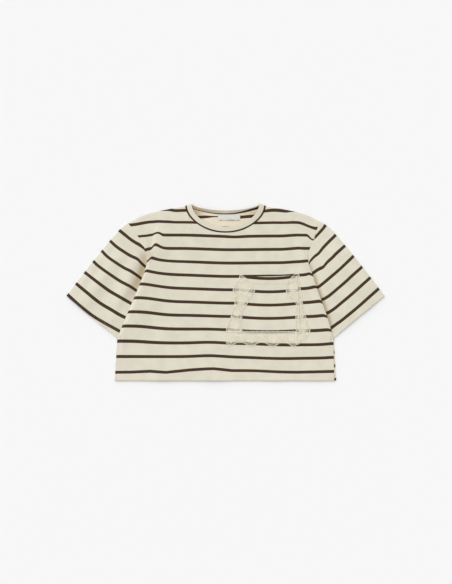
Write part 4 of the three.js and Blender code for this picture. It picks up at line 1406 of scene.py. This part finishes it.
def lace_net(strip):
    """The strip's net: six-sided cells side by side, each with a round hole cut through it. Cells
    share their corners and edge middles, so the net is one closed wall."""
    outline = strip_outline(strip)
    low, high = outline.min(0), outline.max(0)
    rows = int((high[1] - low[1]) / (net_pitch * np.sqrt(0.75))) + 2
    columns = int((high[0] - low[0]) / net_pitch) + 2
    i, j = np.meshgrid(np.arange(columns), np.arange(rows), indexing="ij")
    i, j = i.ravel(), j.ravel()
    centre_x = low[0] + (i + (j % 2) / 2) * net_pitch
    centre_y = low[1] + j * net_pitch * np.sqrt(0.75)
    centres = np.column_stack([centre_x, centre_y])
    centres = centres[inside_outline(centres, outline)]
    turns = 2 * np.pi * (np.arange(net_turns) + 0.5) / net_turns - np.pi / 6 - np.pi / net_turns
    corner = net_pitch / np.sqrt(3)
    reach = np.where(np.arange(net_turns) % 2 == 0, corner, corner * np.cos(np.pi / 6))
    ray = np.column_stack([np.cos(turns), np.sin(turns)])
    outer = centres[:, None] + ray * reach[:, None]
    keys, number = np.unique(np.round(outer.reshape(-1, 2) / 0.01).astype(int), axis=0, return_inverse=True)
    number = number.reshape(len(centres), net_turns)
    crossing = np.zeros((len(keys), 2))
    crossing[number.ravel()] = outer.reshape(-1, 2)
    open_share = hole_size(strip, centres, outline)
    holes = centres[:, None] + ray * (open_share * net_pitch / 2)[:, None, None]
    flat = np.vstack([crossing, holes.reshape(-1, 2)])
    hole_number = len(keys) + np.arange(len(centres) * net_turns).reshape(len(centres), net_turns)
    pattern = thickness_of_pattern(strip, flat)
    x, y = flat.T * mm
    raised = net_rise + pattern_rise * pattern
    raised[:len(keys)] += crossing_rise
    ground = lace_ground(x, y) + lace_clear
    count = len(flat)
    points = np.concatenate([np.column_stack([x, y, ground + lace_thickness + raised]),
                             np.column_stack([x, y, ground])])
    after, hole_after = np.roll(number, -1, 1), np.roll(hole_number, -1, 1)
    top = np.stack([number, after, hole_after, hole_number], -1).reshape(-1, 4)
    walls = np.stack([hole_number, hole_after, hole_after + count, hole_number + count], -1).reshape(-1, 4)
    edges = np.stack([number, after], -1).reshape(-1, 2)
    pair = np.sort(edges, 1)
    _, first, uses = np.unique(pair[:, 0] * count + pair[:, 1], return_index=True, return_counts=True)
    rim = edges[first[uses == 1]]
    border = np.column_stack([rim[:, 1], rim[:, 0], rim[:, 0] + count, rim[:, 1] + count])
    faces = np.concatenate([top, top[:, ::-1] + count, walls, border])
    return make_piece(f"lace_{strip}_net", points, faces, [lace_cotton])


def cord_along(line, radius, closed=False, sides=6, lift=0.0):
    """Round cord along a line of places in millimetres that lies on the lace: rings of points
    square to the line. Returns its points, its faces of four corners and its faces of three."""
    x, y = line[:, 0] * mm, line[:, 1] * mm
    middle = np.column_stack([x, y, lace_ground(x, y) + lift])
    if closed:
        along = np.roll(middle, -1, 0) - np.roll(middle, 1, 0)
    else:
        along = np.gradient(middle, axis=0)
    rings = middle[:, None] + radius * round_section(along, sides)
    index = np.arange(len(line) * sides).reshape(-1, sides)
    caps = np.zeros((0, 3), int)
    if not closed:
        caps = np.array([[ring[0], ring[k], ring[k + 1]] for ring in (index[0][::-1], index[-1])
                         for k in range(1, sides - 1)])
    return rings.reshape(-1, 3), ring_faces(index, closed), caps


def even_line(line, spacing, closed=False):
    """The same line with points an even distance apart."""
    if closed:
        line = np.vstack([line, line[:1]])
    run = np.concatenate([[0], np.cumsum(np.linalg.norm(np.diff(line, axis=0), axis=1))])
    count = max(int(round(run[-1] / spacing)), 3)
    at = np.linspace(0, run[-1], count, endpoint=not closed)
    return np.column_stack([np.interp(at, run, line[:, k]) for k in (0, 1)])


def edge_loops(run, outline):
    """Small loops side by side along a free edge: each is half an oval that stands outwards."""
    even = even_line(run, loop_pitch)
    along = np.gradient(even, axis=0)
    along /= np.linalg.norm(along, axis=1, keepdims=True)
    outward = np.column_stack([along[:, 1], -along[:, 0]])
    middle = len(even) // 2
    if inside_outline((even + outward)[middle:middle + 1], outline)[0]:
        outward = -outward
    bend = np.linspace(0, np.pi, 7)[:, None]
    loops = [place + loop_radius * (np.cos(bend) * step + 1.15 * np.sin(bend) * away)
             for place, step, away in zip(even[1:-1], along[1:-1], outward[1:-1])]
    return [cord_along(loop, loop_cord_radius, False, 4, loop_cord_lift) for loop in loops]


def lace_cords(strip):
    """Corded edge all round the strip, a cord round each flower and leaf, a ring in each flower, a
    vein in each leaf, and small loops side by side along the free edges."""
    outline = strip_outline(strip)
    shapes = [cord_along(even_line(outline, 1.1, True), edge_cord_radius, True, 6, edge_cord_lift)]
    angle = np.linspace(0, 2 * np.pi, 60, endpoint=False)
    circle = np.column_stack([np.cos(angle), np.sin(angle)])
    for x, y, radius in lace_flowers[strip]:
        petals = circle * flower_radius(angle, radius)[:, None]
        for ring, spacing in ((petals, 1.0), (circle * 0.2 * radius, 0.7)):
            line = even_line(ring + (x, y), spacing, True)
            shapes.append(cord_along(line, motif_cord_radius, True, 5, motif_cord_lift))
    for leaf in lace_leaves[strip]:
        edge = even_line(leaf_line(*leaf), 0.9, True)
        shapes.append(cord_along(edge, motif_cord_radius, True, 5, motif_cord_lift))
        x, y, length, turn = leaf
        tip = (x + length * np.cos(np.radians(turn)), y + length * np.sin(np.radians(turn)))
        vein = even_line(np.array([(x, y), tip]), 1.2)
        shapes.append(cord_along(vein, 0.8 * motif_cord_radius, False, 5, motif_cord_lift))
    if strip == "foot":
        runs = [outline]
    else:
        right, left = strip_edges(strip)
        runs = [right, left[::-1]]
    for run in runs:
        shapes += edge_loops(run, outline)
    return join_shapes(f"lace_{strip}_cords", shapes, [lace_cotton])


for strip, flat_size, flat_area in (("inner", (0.145, 0.05), 0.0043), ("outer", (0.17, 0.04), 0.0039),
                                    ("foot", (0.165, 0.035), 0.0051)):
    net = lace_net(strip)
    cords = lace_cords(strip)
    sew_on(net, "lace", f"lace_{strip}")
    sew_on(cords, "lace")
